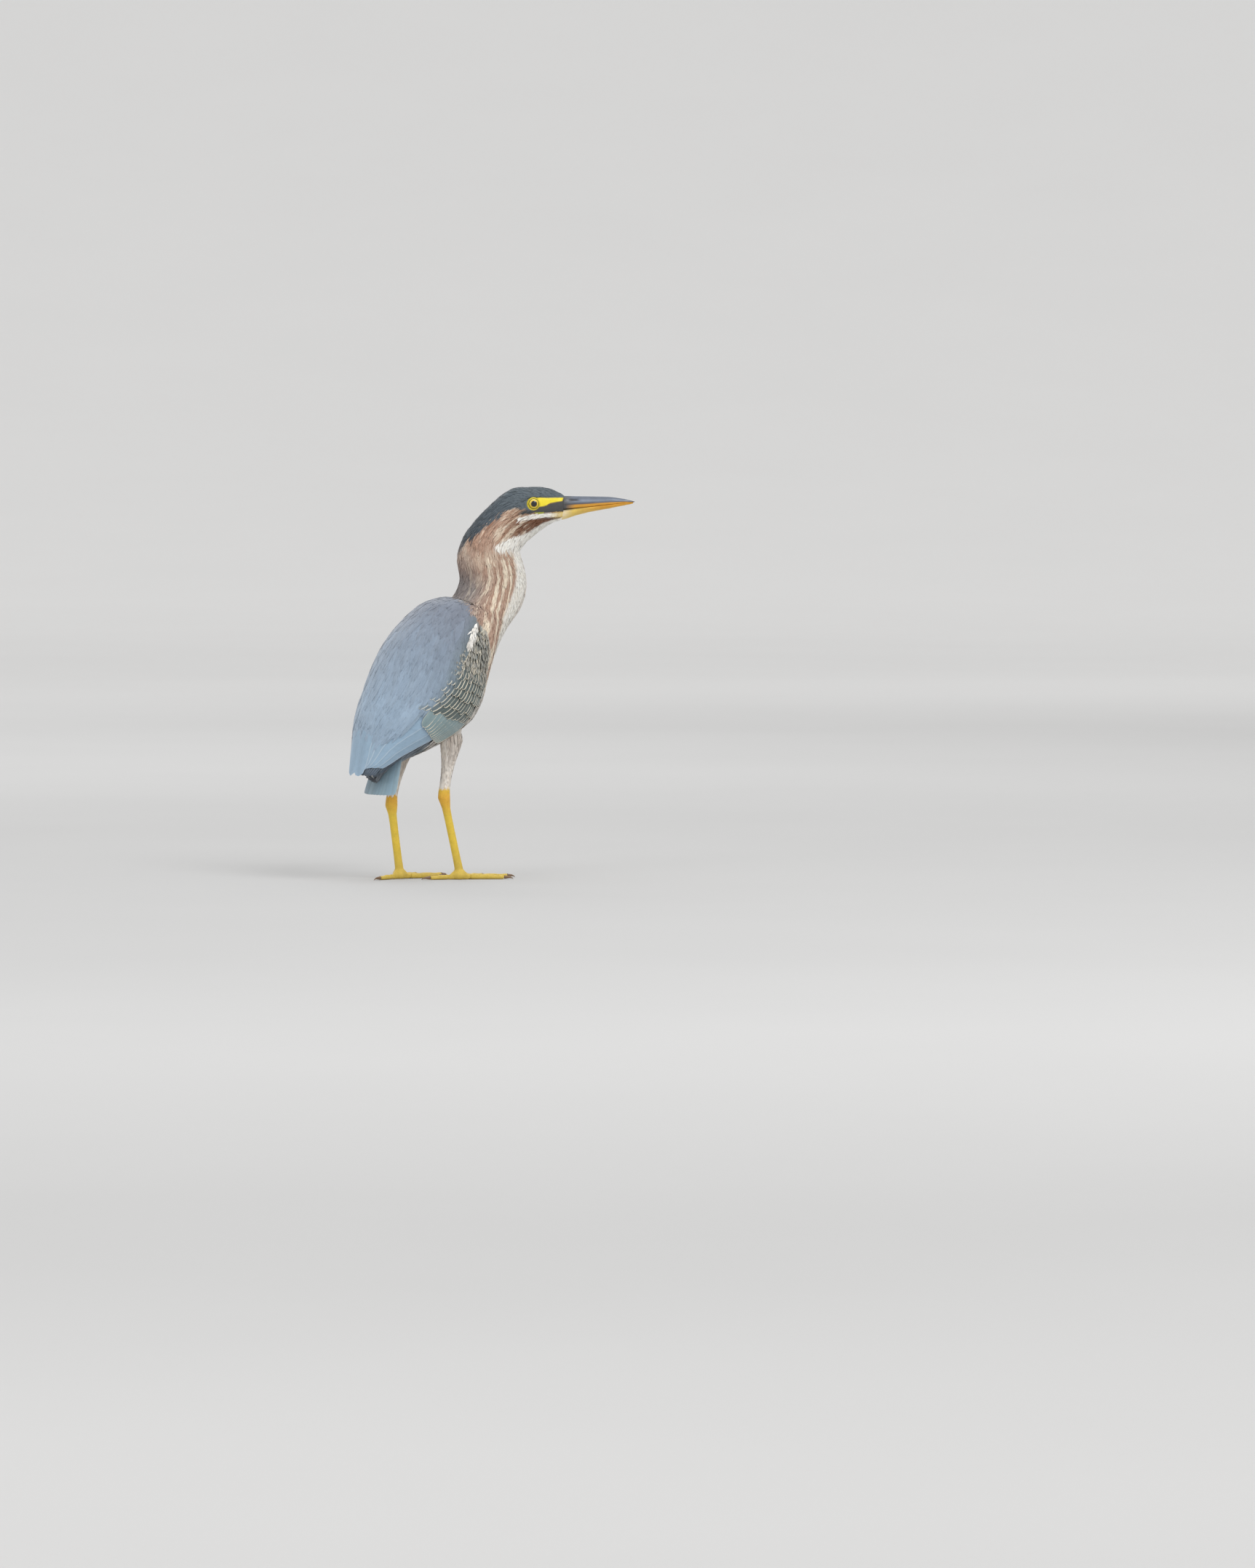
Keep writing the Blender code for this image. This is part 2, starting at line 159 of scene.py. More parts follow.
def smooth_through(points, at):
    """A smooth curve through rows of numbers, read at places counted in rows."""
    padded = np.vstack([2 * points[0] - points[1], points, 2 * points[-1] - points[-2]])
    i = np.clip(at.astype(int), 0, len(points) - 2)
    s = (at - i)[:, None]
    a, b, c, d = (padded[i + k] for k in range(4))
    return 0.5 * (2 * b + (c - a) * s + (2 * a - 5 * b + 4 * c - d) * s ** 2
                  + (3 * b - a - 3 * c + d) * s ** 3)


def evenly_along(points, count):
    """The smooth curve through rows of numbers, read at even distances along it."""
    curve = smooth_through(points, np.linspace(0, len(points) - 1 - 1e-9, CURVE_STEPS))
    length = np.concatenate([[0], np.cumsum(np.hypot(*np.diff(curve[:, :2], axis=0).T))])
    even = np.linspace(0, length[-1], count)
    return even, np.stack([np.interp(even, length, curve[:, k]) for k in range(points.shape[1])], -1)


T, spine = evenly_along(SPINE, T_STEPS)
LENGTH = T[-1]
TURN = spine[:, 2]
ANGLE = np.linspace(-math.pi, math.pi, A_STEPS, endpoint=False)


def directions_along():
    """Middle point, back direction and right direction of every section, in the frame."""
    tangent = np.gradient(spine[:, :2], axis=0)
    tangent /= np.linalg.norm(tangent, axis=1, keepdims=True)
    turn = np.radians(TURN)
    zero = np.zeros_like(turn)
    heading = np.stack([-np.sin(turn), -np.cos(turn), zero], -1)
    right = np.stack([-np.cos(turn), np.sin(turn), zero], -1)
    up = np.array([0, 0, 1.0])
    back = -tangent[:, 1:] * heading + tangent[:, :1] * up
    forward, side = turned(spine[:, 0], 0.0, TURN)
    return world(forward, side, spine[:, 1]), back, right


CENTRE, BACK, RIGHT = directions_along()
print("spine length", round(LENGTH, 1), "mm")

# %% [markdown]
# The outer form is read from the frame's solids: from far out, a ray runs in towards the spine
# along every direction of every section, and its first hit is the body's surface there. The
# solids have hair-thin gaps that a ray could slip through, so each reading is compared with its
# neighbours, and the whole map is smoothed a little, which also rounds the facets.

# %% Read the body's outer form
def tree_of(names):
    corners, faces = [], []
    for name in names:
        mesh = frame["nodes"][name].data
        start = len(corners)
        corners += [vertex.co.copy() for vertex in mesh.vertices]
        faces += [[start + i for i in polygon.vertices] for polygon in mesh.polygons]
    return BVHTree.FromPolygons(corners, faces)


def neighbours_middle(values):
    """The middle value of each reading and its neighbours along and round the body."""
    values = filled(values)
    around = [np.roll(values, k, axis=1) for k in (-1, 0, 1)]
    stack = []
    for layer in around:
        for k in (-2, -1, 0, 1, 2):
            stack.append(layer[np.clip(np.arange(len(values)) + k, 0, len(values) - 1)])
    return np.median(np.stack(stack), axis=0)


def smoothed(values, rounds):
    for _ in range(rounds):
        values = (np.roll(values, 1, 1) + 2 * values + np.roll(values, -1, 1)) / 4
        ends = values[[0, -1]]
        inner = (values[:-2] + 2 * values[1:-1] + values[2:]) / 4
        values = np.vstack([ends[:1], inner, ends[1:]])
    return values


def filled(radius):
    """Gaps in the readings, filled from along the body."""
    out = radius.copy()
    rows = np.arange(len(out))
    for j in range(out.shape[1]):
        known = ~np.isnan(out[:, j])
        out[:, j] = np.interp(rows, rows[known], out[known, j])
    return out


def read_radius(names):
    tree = tree_of(names)
    radius = np.full((T_STEPS, A_STEPS), np.nan)
    for i in range(T_STEPS):
        reach = spine[i, 3] * MM
        centre = Vector(CENTRE[i])
        for j, angle in enumerate(ANGLE):
            out = Vector(BACK[i] * math.cos(angle) + RIGHT[i] * math.sin(angle))
            hit = tree.ray_cast(centre + out * reach, -out, reach)
            if hit[0] is not None:
                radius[i, j] = reach - hit[3]
    return radius


BODY_NODES = ["trunk", "neck_lower", "neck_upper", "head", "crest"]
WING_NODES = ["wing_left", "wing_right"]
core_raw = read_radius(BODY_NODES)
wing_raw = read_radius(WING_NODES)
print("rays done, misses on the body", int(np.isnan(core_raw).sum()))


def cleaned(raw, rounds):
    middle = neighbours_middle(raw)
    good = np.abs(raw - middle) < 2 * MM
    return smoothed(filled(np.where(good, raw, middle)), rounds)


def dent(nodes, margin):
    """Where another piece stands in a bed or socket of the body, with a margin round it."""
    there = ~np.isnan(read_radius(nodes))
    for _ in range(margin):
        there = there | np.roll(there, 1, 1) | np.roll(there, -1, 1)
        there[1:-1] = there[1:-1] | there[2:] | there[:-2]
    return there


def bridged(radius, there, rounds=500):
    """The map with its dents closed over, as a skin stretched from their rims."""
    out = np.where(there, np.nan, radius)
    out = filled(out)
    for _ in range(rounds):
        up, down = np.roll(out, 1, 0), np.roll(out, -1, 0)
        mean = (up + down + np.roll(out, 1, 1) + np.roll(out, -1, 1)) / 4
        out = np.where(there, mean, out)
    return out


core_raw[T > HEAD_END] = np.nan
socket = dent(["eye_left", "eye_right"], 3)
leg_bed = dent(["thigh_left", "thigh_right", "tail"], 2)
core_raw = bridged(filled(core_raw), socket | leg_bed)
core = cleaned(core_raw, 3)
print("closed over", int(socket.sum()), "socket and", int(leg_bed.sum()), "leg and tail places")
IS_WING = ~np.isnan(wing_raw) & (wing_raw > np.nan_to_num(core_raw) - 0.5 * MM)
outer_raw = np.fmax(core_raw, wing_raw)
outer = cleaned(outer_raw, 3)


def surface(radius):
    """Points of the body for a map of radii, and the outward direction at each."""
    cos, sin = np.cos(ANGLE)[None, :, None], np.sin(ANGLE)[None, :, None]
    out = BACK[:, None, :] * cos + RIGHT[:, None, :] * sin
    return CENTRE[:, None, :] + out * radius[..., None], out


# %% [markdown]
# A `Ground` is a surface that feathers can lie on: points over a length `t` and an angle `a`.
# It knows its outward directions and its scale, and it can be read between its own lines. There
# is one ground for the bare body and one for the body with its folded wings on.
#
# Near a wing's edge the feathers run on straight over the flank and don't drop to it, so the
# wings have a ground of their own, which goes on past the wing's edges at the edge's radius.

# %% Grounds to lay feathers on
class Ground:
    def __init__(self, points, out, length, first=-math.pi, last=math.pi, closed=True):
        self.points, self.length = points, length
        self.first, self.last, self.closed = first, last, closed
        self.rows, self.columns = points.shape[:2]
        self.t_step = length / (self.rows - 1)
        self.a_step = (last - first) / (self.columns if closed else self.columns - 1)
        along = np.gradient(points, self.t_step, axis=0)
        if closed:
            around = (np.roll(points, -1, 1) - np.roll(points, 1, 1)) / (2 * self.a_step)
        else:
            around = np.gradient(points, self.a_step, axis=1)
        normal = np.cross(around, along)
        normal /= np.linalg.norm(normal, axis=2, keepdims=True) + 1e-12
        self.out = normal * np.sign(np.sum(normal * out, axis=2, keepdims=True))
        self.per_t = np.clip(np.linalg.norm(along, axis=2) / MM, 0.25, 4)
        self.per_a = np.clip(np.linalg.norm(around, axis=2) / MM, 2, 90)

    def read(self, layer, t, a):
        """A layer of this ground between its own lines."""
        row = np.clip(t / self.t_step, 0, self.rows - 1.001)
        i = np.floor(row).astype(int)
        column = (a - self.first) / self.a_step
        if not self.closed:
            column = np.clip(column, 0, self.columns - 1.001)
        j = np.floor(column).astype(int)
        u, v = row - i, column - j
        if layer.ndim == 3:
            u, v = u[..., None], v[..., None]
        j, k = j % self.columns, (j + 1) % self.columns
        near = layer[i, j] * (1 - v) + layer[i, k] * v
        far = layer[i + 1, j] * (1 - v) + layer[i + 1, k] * v
        return near * (1 - u) + far * u

    def patch_place(self, t, a):
        """A place of this ground on its own unwrap, with a margin round the edge."""
        flat = np.stack([(a - self.first) / (self.last - self.first), t / self.length], -1)
        return 0.02 + 0.96 * np.clip(flat, 0, 1)

    def point(self, t, a, height):
        """A point at a height in millimetres over the ground."""
        normal = self.read(self.out, t, a)
        normal = normal / np.linalg.norm(normal, axis=-1, keepdims=True)
        return self.read(self.points, t, a) + normal * (height * MM)[..., None]


def spread_round(raw):
    """A map that is known over a stretch of angles, carried on at its edge values."""
    out = raw.copy()
    near = np.abs(ANGLE)
    for side in (ANGLE > 0, ANGLE <= 0):
        columns = np.flatnonzero(side)
        columns = columns[np.argsort(near[columns])]
        for i in range(len(raw)):
            known = columns[~np.isnan(raw[i, columns])]
            if len(known):
                out[i, columns] = np.interp(near[columns], near[known], raw[i, known])
    return filled(out)


BARE = Ground(*surface(core), LENGTH)
WHOLE = Ground(*surface(outer), LENGTH)
wing_radius = smoothed(spread_round(np.where(IS_WING, wing_raw, np.nan)), 3)
WINGS = Ground(*surface(wing_radius), LENGTH)
print("wing covers", round(float(IS_WING.mean()), 3), "of the map")
print("girth at mid trunk", round(float(WHOLE.per_a[90].mean() * 2 * math.pi)), "mm")

# %% [markdown]
# The edges of the folded wing are read from the same rays: for every `t`, the angle where the
# wing starts near the back, and the angle of its lower edge. A wing place is then a share `q`,
# from 0 at the upper edge to 1 at the lower one, and feathers that keep their share run with
# the wing.

# %% Edges of the folded wing
right_side = ANGLE > 0
rows_with_wing = np.flatnonzero((IS_WING & right_side).any(axis=1))
upper_edge = np.array([ANGLE[IS_WING[i] & right_side].min() for i in rows_with_wing])
lower_edge = np.array([ANGLE[IS_WING[i] & right_side].max() for i in rows_with_wing])
soften = np.ones(9) / 9
upper_edge = np.convolve(np.pad(upper_edge, 4, "edge"), soften, "valid")
lower_edge = np.convolve(np.pad(lower_edge, 4, "edge"), soften, "valid")
WING_TOP = T[rows_with_wing[-1]]


def wing_angle(t, share):
    upper = np.interp(t, T[rows_with_wing], upper_edge)
    lower = np.interp(t, T[rows_with_wing], lower_edge)
    return upper + (lower - upper) * share


def wing_share(t, angle):
    return (np.abs(angle) - wing_angle(t, 0.0)) / (wing_angle(t, 1.0) - wing_angle(t, 0.0))


print("wing from t", round(T[rows_with_wing[0]], 1), "to", round(WING_TOP, 1))

# %% [markdown]
# The map also gives each place its height on the bird as if the head weren't turned. The
# markings are drawn in that plane, where they have simple edges.

# %% Ahead and up at every place
slope = np.gradient(spine[:, :2], axis=0)
slope /= np.linalg.norm(slope, axis=1, keepdims=True)
AHEAD = spine[:, :1] - slope[:, 1:] * outer / MM * np.cos(ANGLE)[None, :]
UP = spine[:, 1:2] + slope[:, :1] * outer / MM * np.cos(ANGLE)[None, :]

# %% [markdown]
# ## Colours and markings
#
# A green heron has a dark cap that runs back into the crest, brown cheeks, two white stripes
# below them, a pinkish brown neck with cream streaks, a white line down the throat, a blue-grey
# back, and wing feathers with buff edges. One function gives the colour at any place, and both
# the skin and the feathers ask it, so that nothing of another colour shows between feathers.

# %% Colours
def colour(red, green, blue):
    """A screen colour, 0 to 255, as the shader's linear colour."""
    c = np.array([red, green, blue], float) / 255
    return np.where(c <= 0.04045, c / 12.92, ((c + 0.055) / 1.055) ** 2.4)


CAP = colour(90, 100, 107)
CREST = colour(70, 79, 87)
LORE_DARK = colour(70, 70, 70)
LORE_YELLOW = colour(236, 216, 40)
LORE_GREEN = colour(176, 178, 66)
HORN_YELLOW = colour(228, 196, 96)
EAR = colour(168, 132, 106)
CHEEK = colour(122, 82, 60)
WHITE = colour(250, 247, 240)
NECK_SIDE = colour(188, 154, 134)
NAPE = colour(138, 130, 128)
MANTLE = colour(120, 128, 142)
BACK_LOW = colour(154, 174, 194)
BREAST = colour(206, 196, 184)
BELLY = colour(206, 200, 192)
FLANK_GREY_AND_WING_SHADE = colour(104, 114, 126)
COVERT = colour(98, 110, 109)
SHOULDER = colour(160, 157, 150)
THIGH = colour(240, 232, 222)
CREAM = colour(244, 230, 208)
BUFF = colour(240, 230, 208)


def edge(value, soft):
    """A soft step from 0 to 1 as a value passes zero, soft units wide."""
    return np.clip(value / soft + 0.5, 0, 1)


def mix(base, over, amount):
    amount = np.asarray(amount)[..., None]
    return base * (1 - amount) + over * amount


def read_line(points, value):
    at, level = zip(*points)
    return np.interp(value, at, level)


def band(up, ahead, line, half, soft=0.8):
    """A stripe on the head: a line of (ahead, up) points with half its width."""
    inside = edge(ahead - line[0][0], 3) * edge(line[-1][0] - ahead, 1)
    return edge(half - np.abs(up - read_line(line, ahead)), soft) * inside


def inside_outline(x, y, outline):
    """Whether places lie inside a closed outline, by counting the edges to their right."""
    hits = np.zeros(np.shape(x), int)
    for (x0, y0), (x1, y1) in zip(outline, outline[1:] + outline[:1]):
        crosses = (y0 > y) != (y1 > y)
        hits += crosses & (x < (x1 - x0) * (y - y0) / (y1 - y0 + 1e-9) + x0)
    return hits % 2 == 1


def soft_inside(x, y, outline, reach=0.35):
    """The same with a soft edge: the mean over a few places round each one."""
    near = [(0, 0), (1, 0), (-1, 0), (0, 1), (0, -1), (0.7, 0.7), (-0.7, 0.7), (0.7, -0.7), (-0.7, -0.7)]
    return np.mean([inside_outline(x + i * reach, y + j * reach, outline) for i, j in near], axis=0)


def soft_noise(x, y, seed):
    """Smooth random values from 0 to 1 over a plane, with one hill for each unit."""
    def corner(i, j):
        value = np.sin(i * 127.1 + j * 311.7 + seed * 74.7) * 43758.5453
        return value - np.floor(value)
    i, j = np.floor(x), np.floor(y)
    u, v = x - i, y - j
    u, v = u * u * (3 - 2 * u), v * v * (3 - 2 * v)
    near = corner(i, j) * (1 - u) + corner(i + 1, j) * u
    far = corner(i, j + 1) * (1 - u) + corner(i + 1, j + 1) * u
    return near * (1 - v) + far * v


# %% [markdown]
# The head's markings are lines and outlines in the head's own plane, in millimetres ahead and
# up. The cap ends in a line that dips behind the eye. The yellow patch runs from the eye almost
# to the bill, and in front of it and below it the lore is dark.

# %% Markings of the head
CAP_EDGE = ((26, 272), (34, 282), (42, 289), (50, 296), (61, 303.2), (71, 305.6), (77, 304.2),
            (82, 302.6), (87, 303.5), (91, 309), (95, 313.0), (108, 313.4), (113, 313.2))
MALAR = ((72.5, 295.0), (75, 296.0), (82, 297.6), (94, 299.0), (104, 299.4), (113, 299.8))
GAPE = ((75, 301.4), (84, 302.2), (100, 303.4), (113, 304.0))
CHIN_TOP = ((50, 272), (55.4, 276), (62, 279), (68, 281.3), (75, 283), (82, 285), (88.4, 289),
            (94.6, 292.7), (102, 295.3), (113, 297.4))
THROAT_EDGE = ((118, 150), (150, 141), (180, 133), (200, 135), (215, 141), (235, 147), (255, 150),
               (275, 156), (313, 156))
LORE = [(87.5, 314.4), (97, 313.8), (111.4, 313.9), (110.4, 311.0), (105.5, 310.3),
        (100, 309.3), (96.5, 307.2), (91, 306.4), (88, 304)]
DARK_LORE = [(89.5, 306.3), (97, 307.2), (101, 309.2), (106, 310.2), (110.2, 310.9), (111.2, 313.9),
             (113.5, 313.9), (113.5, 302.4), (100, 302.2), (88, 301.6)]


def bare_colour(ahead, up):
    """The bare skin of the lore and round the eye, and how far a place belongs to it."""
    dark, yellow = soft_inside(ahead, up, DARK_LORE), soft_inside(ahead, up, LORE)
    ring = edge(5.3 - np.hypot(ahead - EYE_AHEAD, up - EYE_UP), 0.6)
    tint = mix(LORE_DARK, LORE_YELLOW, np.maximum(yellow, ring))
    return tint, np.maximum(np.maximum(dark, yellow), ring)


def head_colour(ahead, up, tress):
    """The coat's colour on the head, with `tress` the noise that streaks the cheek."""
    ear = edge(up - 297 - 0.16 * (ahead - 78), 5) * edge(90 - ahead, 10)
    base = mix(CHEEK, EAR, np.maximum(ear, 0.8 * edge(68 - ahead, 12)))
    base = mix(base, NECK_SIDE, edge(62 - ahead - 0.3 * (284 - up), 20))
    base = mix(base, CREAM, 0.6 * edge(tress - 0.66, 0.14) * edge(82 - ahead, 10))
    base = mix(base, CHEEK, 0.6 * edge(0.30 - tress, 0.16) * edge(82 - ahead, 12))
    chin = edge(read_line(CHIN_TOP, ahead) - up, 1.4) * edge(up - 270.5, 2.5) * edge(ahead - 54, 2.5)
    base = mix(base, WHITE, chin)
    base = mix(base, HORN_YELLOW, 0.55 * edge(297 - up, 3) * edge(ahead - 106, 8))
    base = mix(base, LORE_DARK, 0.5 * band(up, ahead, tuple((a, z - 2.9) for a, z in MALAR), 0.9, 1.0)
               * edge(ahead - 94, 8) * edge(108 - ahead, 4))
    base = mix(base, WHITE, band(up, ahead, MALAR, 1.8, 1.0))
    base = mix(base, HORN_YELLOW, 0.8 * band(up, ahead, MALAR, 2.4, 1.0) * edge(ahead - 104, 10))
    base = mix(base, LORE_DARK, band(up, ahead, GAPE, 1.5))
    under_eye = np.hypot((ahead - 91) / 4.8, (up - 301.6) / 1.1) < 1
    base = mix(base, LORE_GREEN, 0.9 * under_eye)
    cap = edge(up - read_line(CAP_EDGE, ahead), 1.6) * edge(ahead - 25, 2)
    slate = mix(CAP, CREST, edge(62 - ahead, 20))
    return mix(base, slate, cap)


# %% [markdown]
# The body's markings follow the map. The neck's streaks are smooth noise drawn out along the
# lie of the coat, strongest towards the front of the neck. The same noise, drawn finer, gives a
# few brown flecks down the middle of the white throat and breast.

# %% Markings of the body
# Where the neck's feathers come out of the mantle, by degrees from the back line.
COLLAR = ((0, 172), (20, 166), (40, 165), (70, 163), (85, 158), (105, 150), (117, 146),
          (135, 128), (180, 118))


def streak(t, turn, side):
    """Pale streaks of the foreneck, with 0 between them and 1 on them."""
    lean = turn + 0.16 * (t - 200)
    coarse = soft_noise(lean / 5.6, t / 34 + 0.02 * turn, 3 + side)
    fine = soft_noise(lean / 3.4, t / 13, 5 + side)
    return edge(0.7 * coarse + 0.3 * fine - 0.59, 0.07)


def body_colour(t, angle):
    """The coat's own colour at a place of the map."""
    turn = np.degrees((angle + math.pi) % (2 * math.pi) - math.pi)
    side = np.sign(turn)
    turn = np.abs(turn)
    ahead, up = WHOLE.read(AHEAD, t, angle), WHOLE.read(UP, t, angle)
    trunk = mix(MANTLE, BACK_LOW, edge(112 - t, 90))
    trunk = mix(trunk, COVERT, edge(turn - 76, 24) * edge(t - 48, 20))
    trunk = mix(trunk, BREAST, edge(turn - 142, 14))
    trunk = mix(trunk, BELLY, edge(turn - 140, 14) * edge(112 - t, 30))
    # The rear flank below the wing's edge, and the rump under the wing tips, are darkened: partly the flank's
    # own grey, partly painted shade under the wing.
    trunk = mix(trunk, FLANK_GREY_AND_WING_SHADE, 0.8 * edge(132 - turn, 20) * edge(turn - 90, 10) * edge(80 - t, 20))
    trunk = mix(trunk, FLANK_GREY_AND_WING_SHADE, 0.8 * edge(40 - t, 16) * edge(turn - 60, 20))
    streaks = streak(t, turn, side)
    neck = mix(NECK_SIDE, NAPE, edge(74 - turn, 50) * edge(212 - t, 30))
    neck = mix(neck, NAPE, 0.55 * edge(40 - turn, 30))
    neck = mix(neck, CREAM, 0.95 * streaks * edge(turn - 78 + 0.35 * (t - 200), 26))
    neck = mix(neck, CREAM, 0.25 * streaks * edge(turn - 25, 30))
    tress = soft_noise(turn / 6, t / 11, 9 + side)
    neck = mix(neck, CREAM, 0.3 * edge(tress - 0.62, 0.16) * edge(t - 205, 20) * edge(turn - 40, 30))
    out = mix(trunk, neck, edge(t - read_line(COLLAR, turn), 4))
    out = mix(out, head_colour(ahead, up, tress), edge(t - 236, 10))
    throat = edge(turn - read_line(THROAT_EDGE, t), 5) * edge(t - 112, 20)
    out = mix(out, WHITE, throat)
    flecks = edge(soft_noise(turn / 3.2, t / 13, 15 + side) - 0.68, 0.12) * edge(turn - 158, 8)
    return mix(out, NECK_SIDE, 0.7 * flecks * edge(t - 118, 24) * edge(232 - t, 16))


# %% [markdown]
# ## The skin
#
# Under the coat lies the skin. It is one mesh: the body's map drawn in by the depth of the coat,
# and the legs, joined to it by a Boolean union inside the thighs. The coat is deep on the body
# and very thin on the face. At the bill's root and at the rump the skin draws in more, so that it
# ends inside the bill and under the wing tips. The rings could be a lofted list, but a circle
# that is extruded again and again, with each new ring set on the map, gives the same tube.

# %% The skin of body, neck and head
COAT_DEPTH = ((0, 2.2), (60, 2.8), (160, 2.8), (200, 2.2), (232, 1.7), (262, 1.3), (285, 1.0),
              (300, 0.5), (306, 0.4), (LENGTH - 3.2, 0.6), (LENGTH - 1.6, 1.2), (LENGTH, 2.2))
RUMP_TUCK = 5.5                # how far the rump's end draws in under the wing tips
SKIN_SIDES = 132
SKIN_ROWS = np.concatenate([np.arange(TRUNK_END, 262, 1.6), np.arange(262, 284, 0.8),
                            np.arange(284, LENGTH, 0.45)])


def coat_depth(t):
    return read_line(COAT_DEPTH, t)


def ring_tube(bm, rings):
    """A closed tube in a bmesh: one ring is made, and each other one is extruded from it."""
    loop = [bm.verts.new(place) for place in rings[0]]
    edges = [bm.edges.new(pair) for pair in zip(loop, loop[1:] + loop[:1])]
    ends = [bm.faces.new(loop)]
    for ring in rings[1:]:
        grown = bmesh.ops.extrude_edge_only(bm, edges=edges)["geom"]
        fresh = {part for part in grown if isinstance(part, bmesh.types.BMVert)}
        loop = [next(e.other_vert(v) for e in v.link_edges if e.other_vert(v) in fresh) for v in loop]
        for vertex, place in zip(loop, ring):
            vertex.co = place
        edges = [bm.edges.get(pair) for pair in zip(loop, loop[1:] + loop[:1])]
    ends.append(bm.faces.new(loop))
    bmesh.ops.poke(bm, faces=ends)
    bmesh.ops.recalc_face_normals(bm, faces=bm.faces)


def spun(line, closed, steps, weld):
    """A line of (reach, up) points spun once round the upright axis, as a bmesh."""
    bm = bmesh.new()
    loop = [bm.verts.new((reach, 0, up)) for reach, up in line]
    edges = [bm.edges.new(pair) for pair in zip(loop, loop[1:] + loop[:closed])]
    bmesh.ops.spin(bm, geom=loop + edges, cent=(0, 0, 0), axis=(0, 0, 1), angle=2 * math.pi,
                   steps=steps, use_merge=True)
    bmesh.ops.remove_doubles(bm, verts=bm.verts, dist=weld)
    return bm


def mesh_from(bm, name):
    mesh = bpy.data.meshes.new(name)
    bm.to_mesh(mesh)
    bm.free()
    mesh.shade_smooth()
    return mesh


def add_object(name, data, slot=None, *nodes):
    piece = bpy.data.objects.new(name, data)
    bpy.context.scene.collection.objects.link(piece)
    if slot:
        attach(piece, "root")
    if nodes:
        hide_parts(*nodes)
    return piece


skin_angle = np.linspace(-math.pi, math.pi, SKIN_SIDES, endpoint=False)
grid_t, grid_a = np.meshgrid(SKIN_ROWS, skin_angle, indexing="ij")
body = bmesh.new()
ring_tube(body, WHOLE.point(grid_t, grid_a, -coat_depth(grid_t) - RUMP_TUCK * edge(23 - grid_t, 18)))
body_skin = add_object("body_skin", mesh_from(body, "body_skin"))
print("body skin faces", len(body_skin.data.polygons))

# %% [markdown]
# ### Legs and feet
#
# A leg's pieces in the frame are separate solids with hair-thin gaps. Copies of them are joined
# and given one surface by a voxel remesh, the way clay closes over an armature, and then
# smoothed. The soles are pressed flat on the floor again. The toes' axes are measured from the
# frame, because the scutes are laid out along them.

# %% Legs as one surface
LEG_VOXEL = 0.56 * MM
LEG_SWELL = 0.15 * MM          # enough to close the gaps between the pieces
THIGH_COAT = 1.4 * MM          # depth of the feathers on the thigh
THIGH_TUCK = 2.6 * MM          # how far its top draws back under the flank's feathers
SIDES = ("left", "right")
TOE_NAMES = ("inner", "middle", "outer", "hind")


def corners(node):
    return np.array([vertex.co[:] for vertex in frame["nodes"][node].data.vertices])


def applied(piece):
    """The object's mesh as its modifiers leave it, with the modifiers gone."""
    bpy.context.view_layer.update()
    shaped = piece.evaluated_get(bpy.context.evaluated_depsgraph_get())
    mesh = bpy.data.meshes.new_from_object(shaped)
    piece.modifiers.clear()
    old, piece.data = piece.data, mesh
    bpy.data.meshes.remove(old)


def leg_solid(side):
    bm = bmesh.new()
    nodes = ["thigh_" + side, "shank_" + side, "foot_" + side]
    nodes += [f"toe_{name}_{side}" for name in TOE_NAMES]
    for node in nodes:
        bm.from_mesh(frame["nodes"][node].data)
    bmesh.ops.remove_doubles(bm, verts=bm.verts, dist=0.00001)
    bmesh.ops.recalc_face_normals(bm, faces=bm.faces)
    thigh_end, thigh_top = (corner.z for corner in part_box("thigh_" + side))
    for vertex in bm.verts:
        coat = THIGH_COAT * min(max((vertex.co.z - thigh_end) / (14 * MM), 0), 1)
        coat += THIGH_TUCK * min(max((vertex.co.z - thigh_top + 16 * MM) / (12 * MM), 0), 1)
        vertex.co += vertex.normal * (LEG_SWELL - coat)
    leg = add_object("leg_" + side, mesh_from(bm, "leg_" + side))
    remesh = leg.modifiers.new("one surface", "REMESH")
    remesh.mode = "VOXEL"
    remesh.voxel_size = LEG_VOXEL
    applied(leg)
    bm = bmesh.new()
    bm.from_mesh(leg.data)
    for _ in range(8):
        bmesh.ops.smooth_vert(bm, verts=bm.verts, factor=0.5, use_axis_x=True, use_axis_y=True,
                              use_axis_z=True)
    for vertex in bm.verts:
        vertex.co.z = max(vertex.co.z, 0.0)
    bm.to_mesh(leg.data)
    bm.free()
    return leg


def axis_of(node, start):
    """The two ends of a long piece, the one nearer to a place first."""
    places = corners(node)
    away = np.linalg.norm(places - start, axis=1)
    near = places[away < np.percentile(away, 12)].mean(0)
    far = places[away > np.percentile(away, 88)].mean(0)
    return near, far


legs = [leg_solid(side) for side in SIDES]
LIMB_AXES = []
for side in SIDES:
    foot = corners("foot_" + side).mean(0)
    LIMB_AXES.append((*axis_of("shank_" + side, foot), 2.7, 1))
    LIMB_AXES += [(*axis_of(f"toe_{name}_{side}", foot), 2.2, 0) for name in TOE_NAMES]
print("leg faces", [len(leg.data.polygons) for leg in legs], "axes", len(LIMB_AXES))

# %% [markdown]
# A heron's shin has a row of broad scutes down the front, and each toe has them on top. Between
# them the skin is a net of small scales. The scutes are real steps in the mesh, and the net is
# left to the material's bump. Each corner of the legs finds its nearest limb axis, and the
# distance along that axis tells where in its scute it lies.

# %% Scutes in the surface
SCUTE_HEIGHT = 0.34 * MM


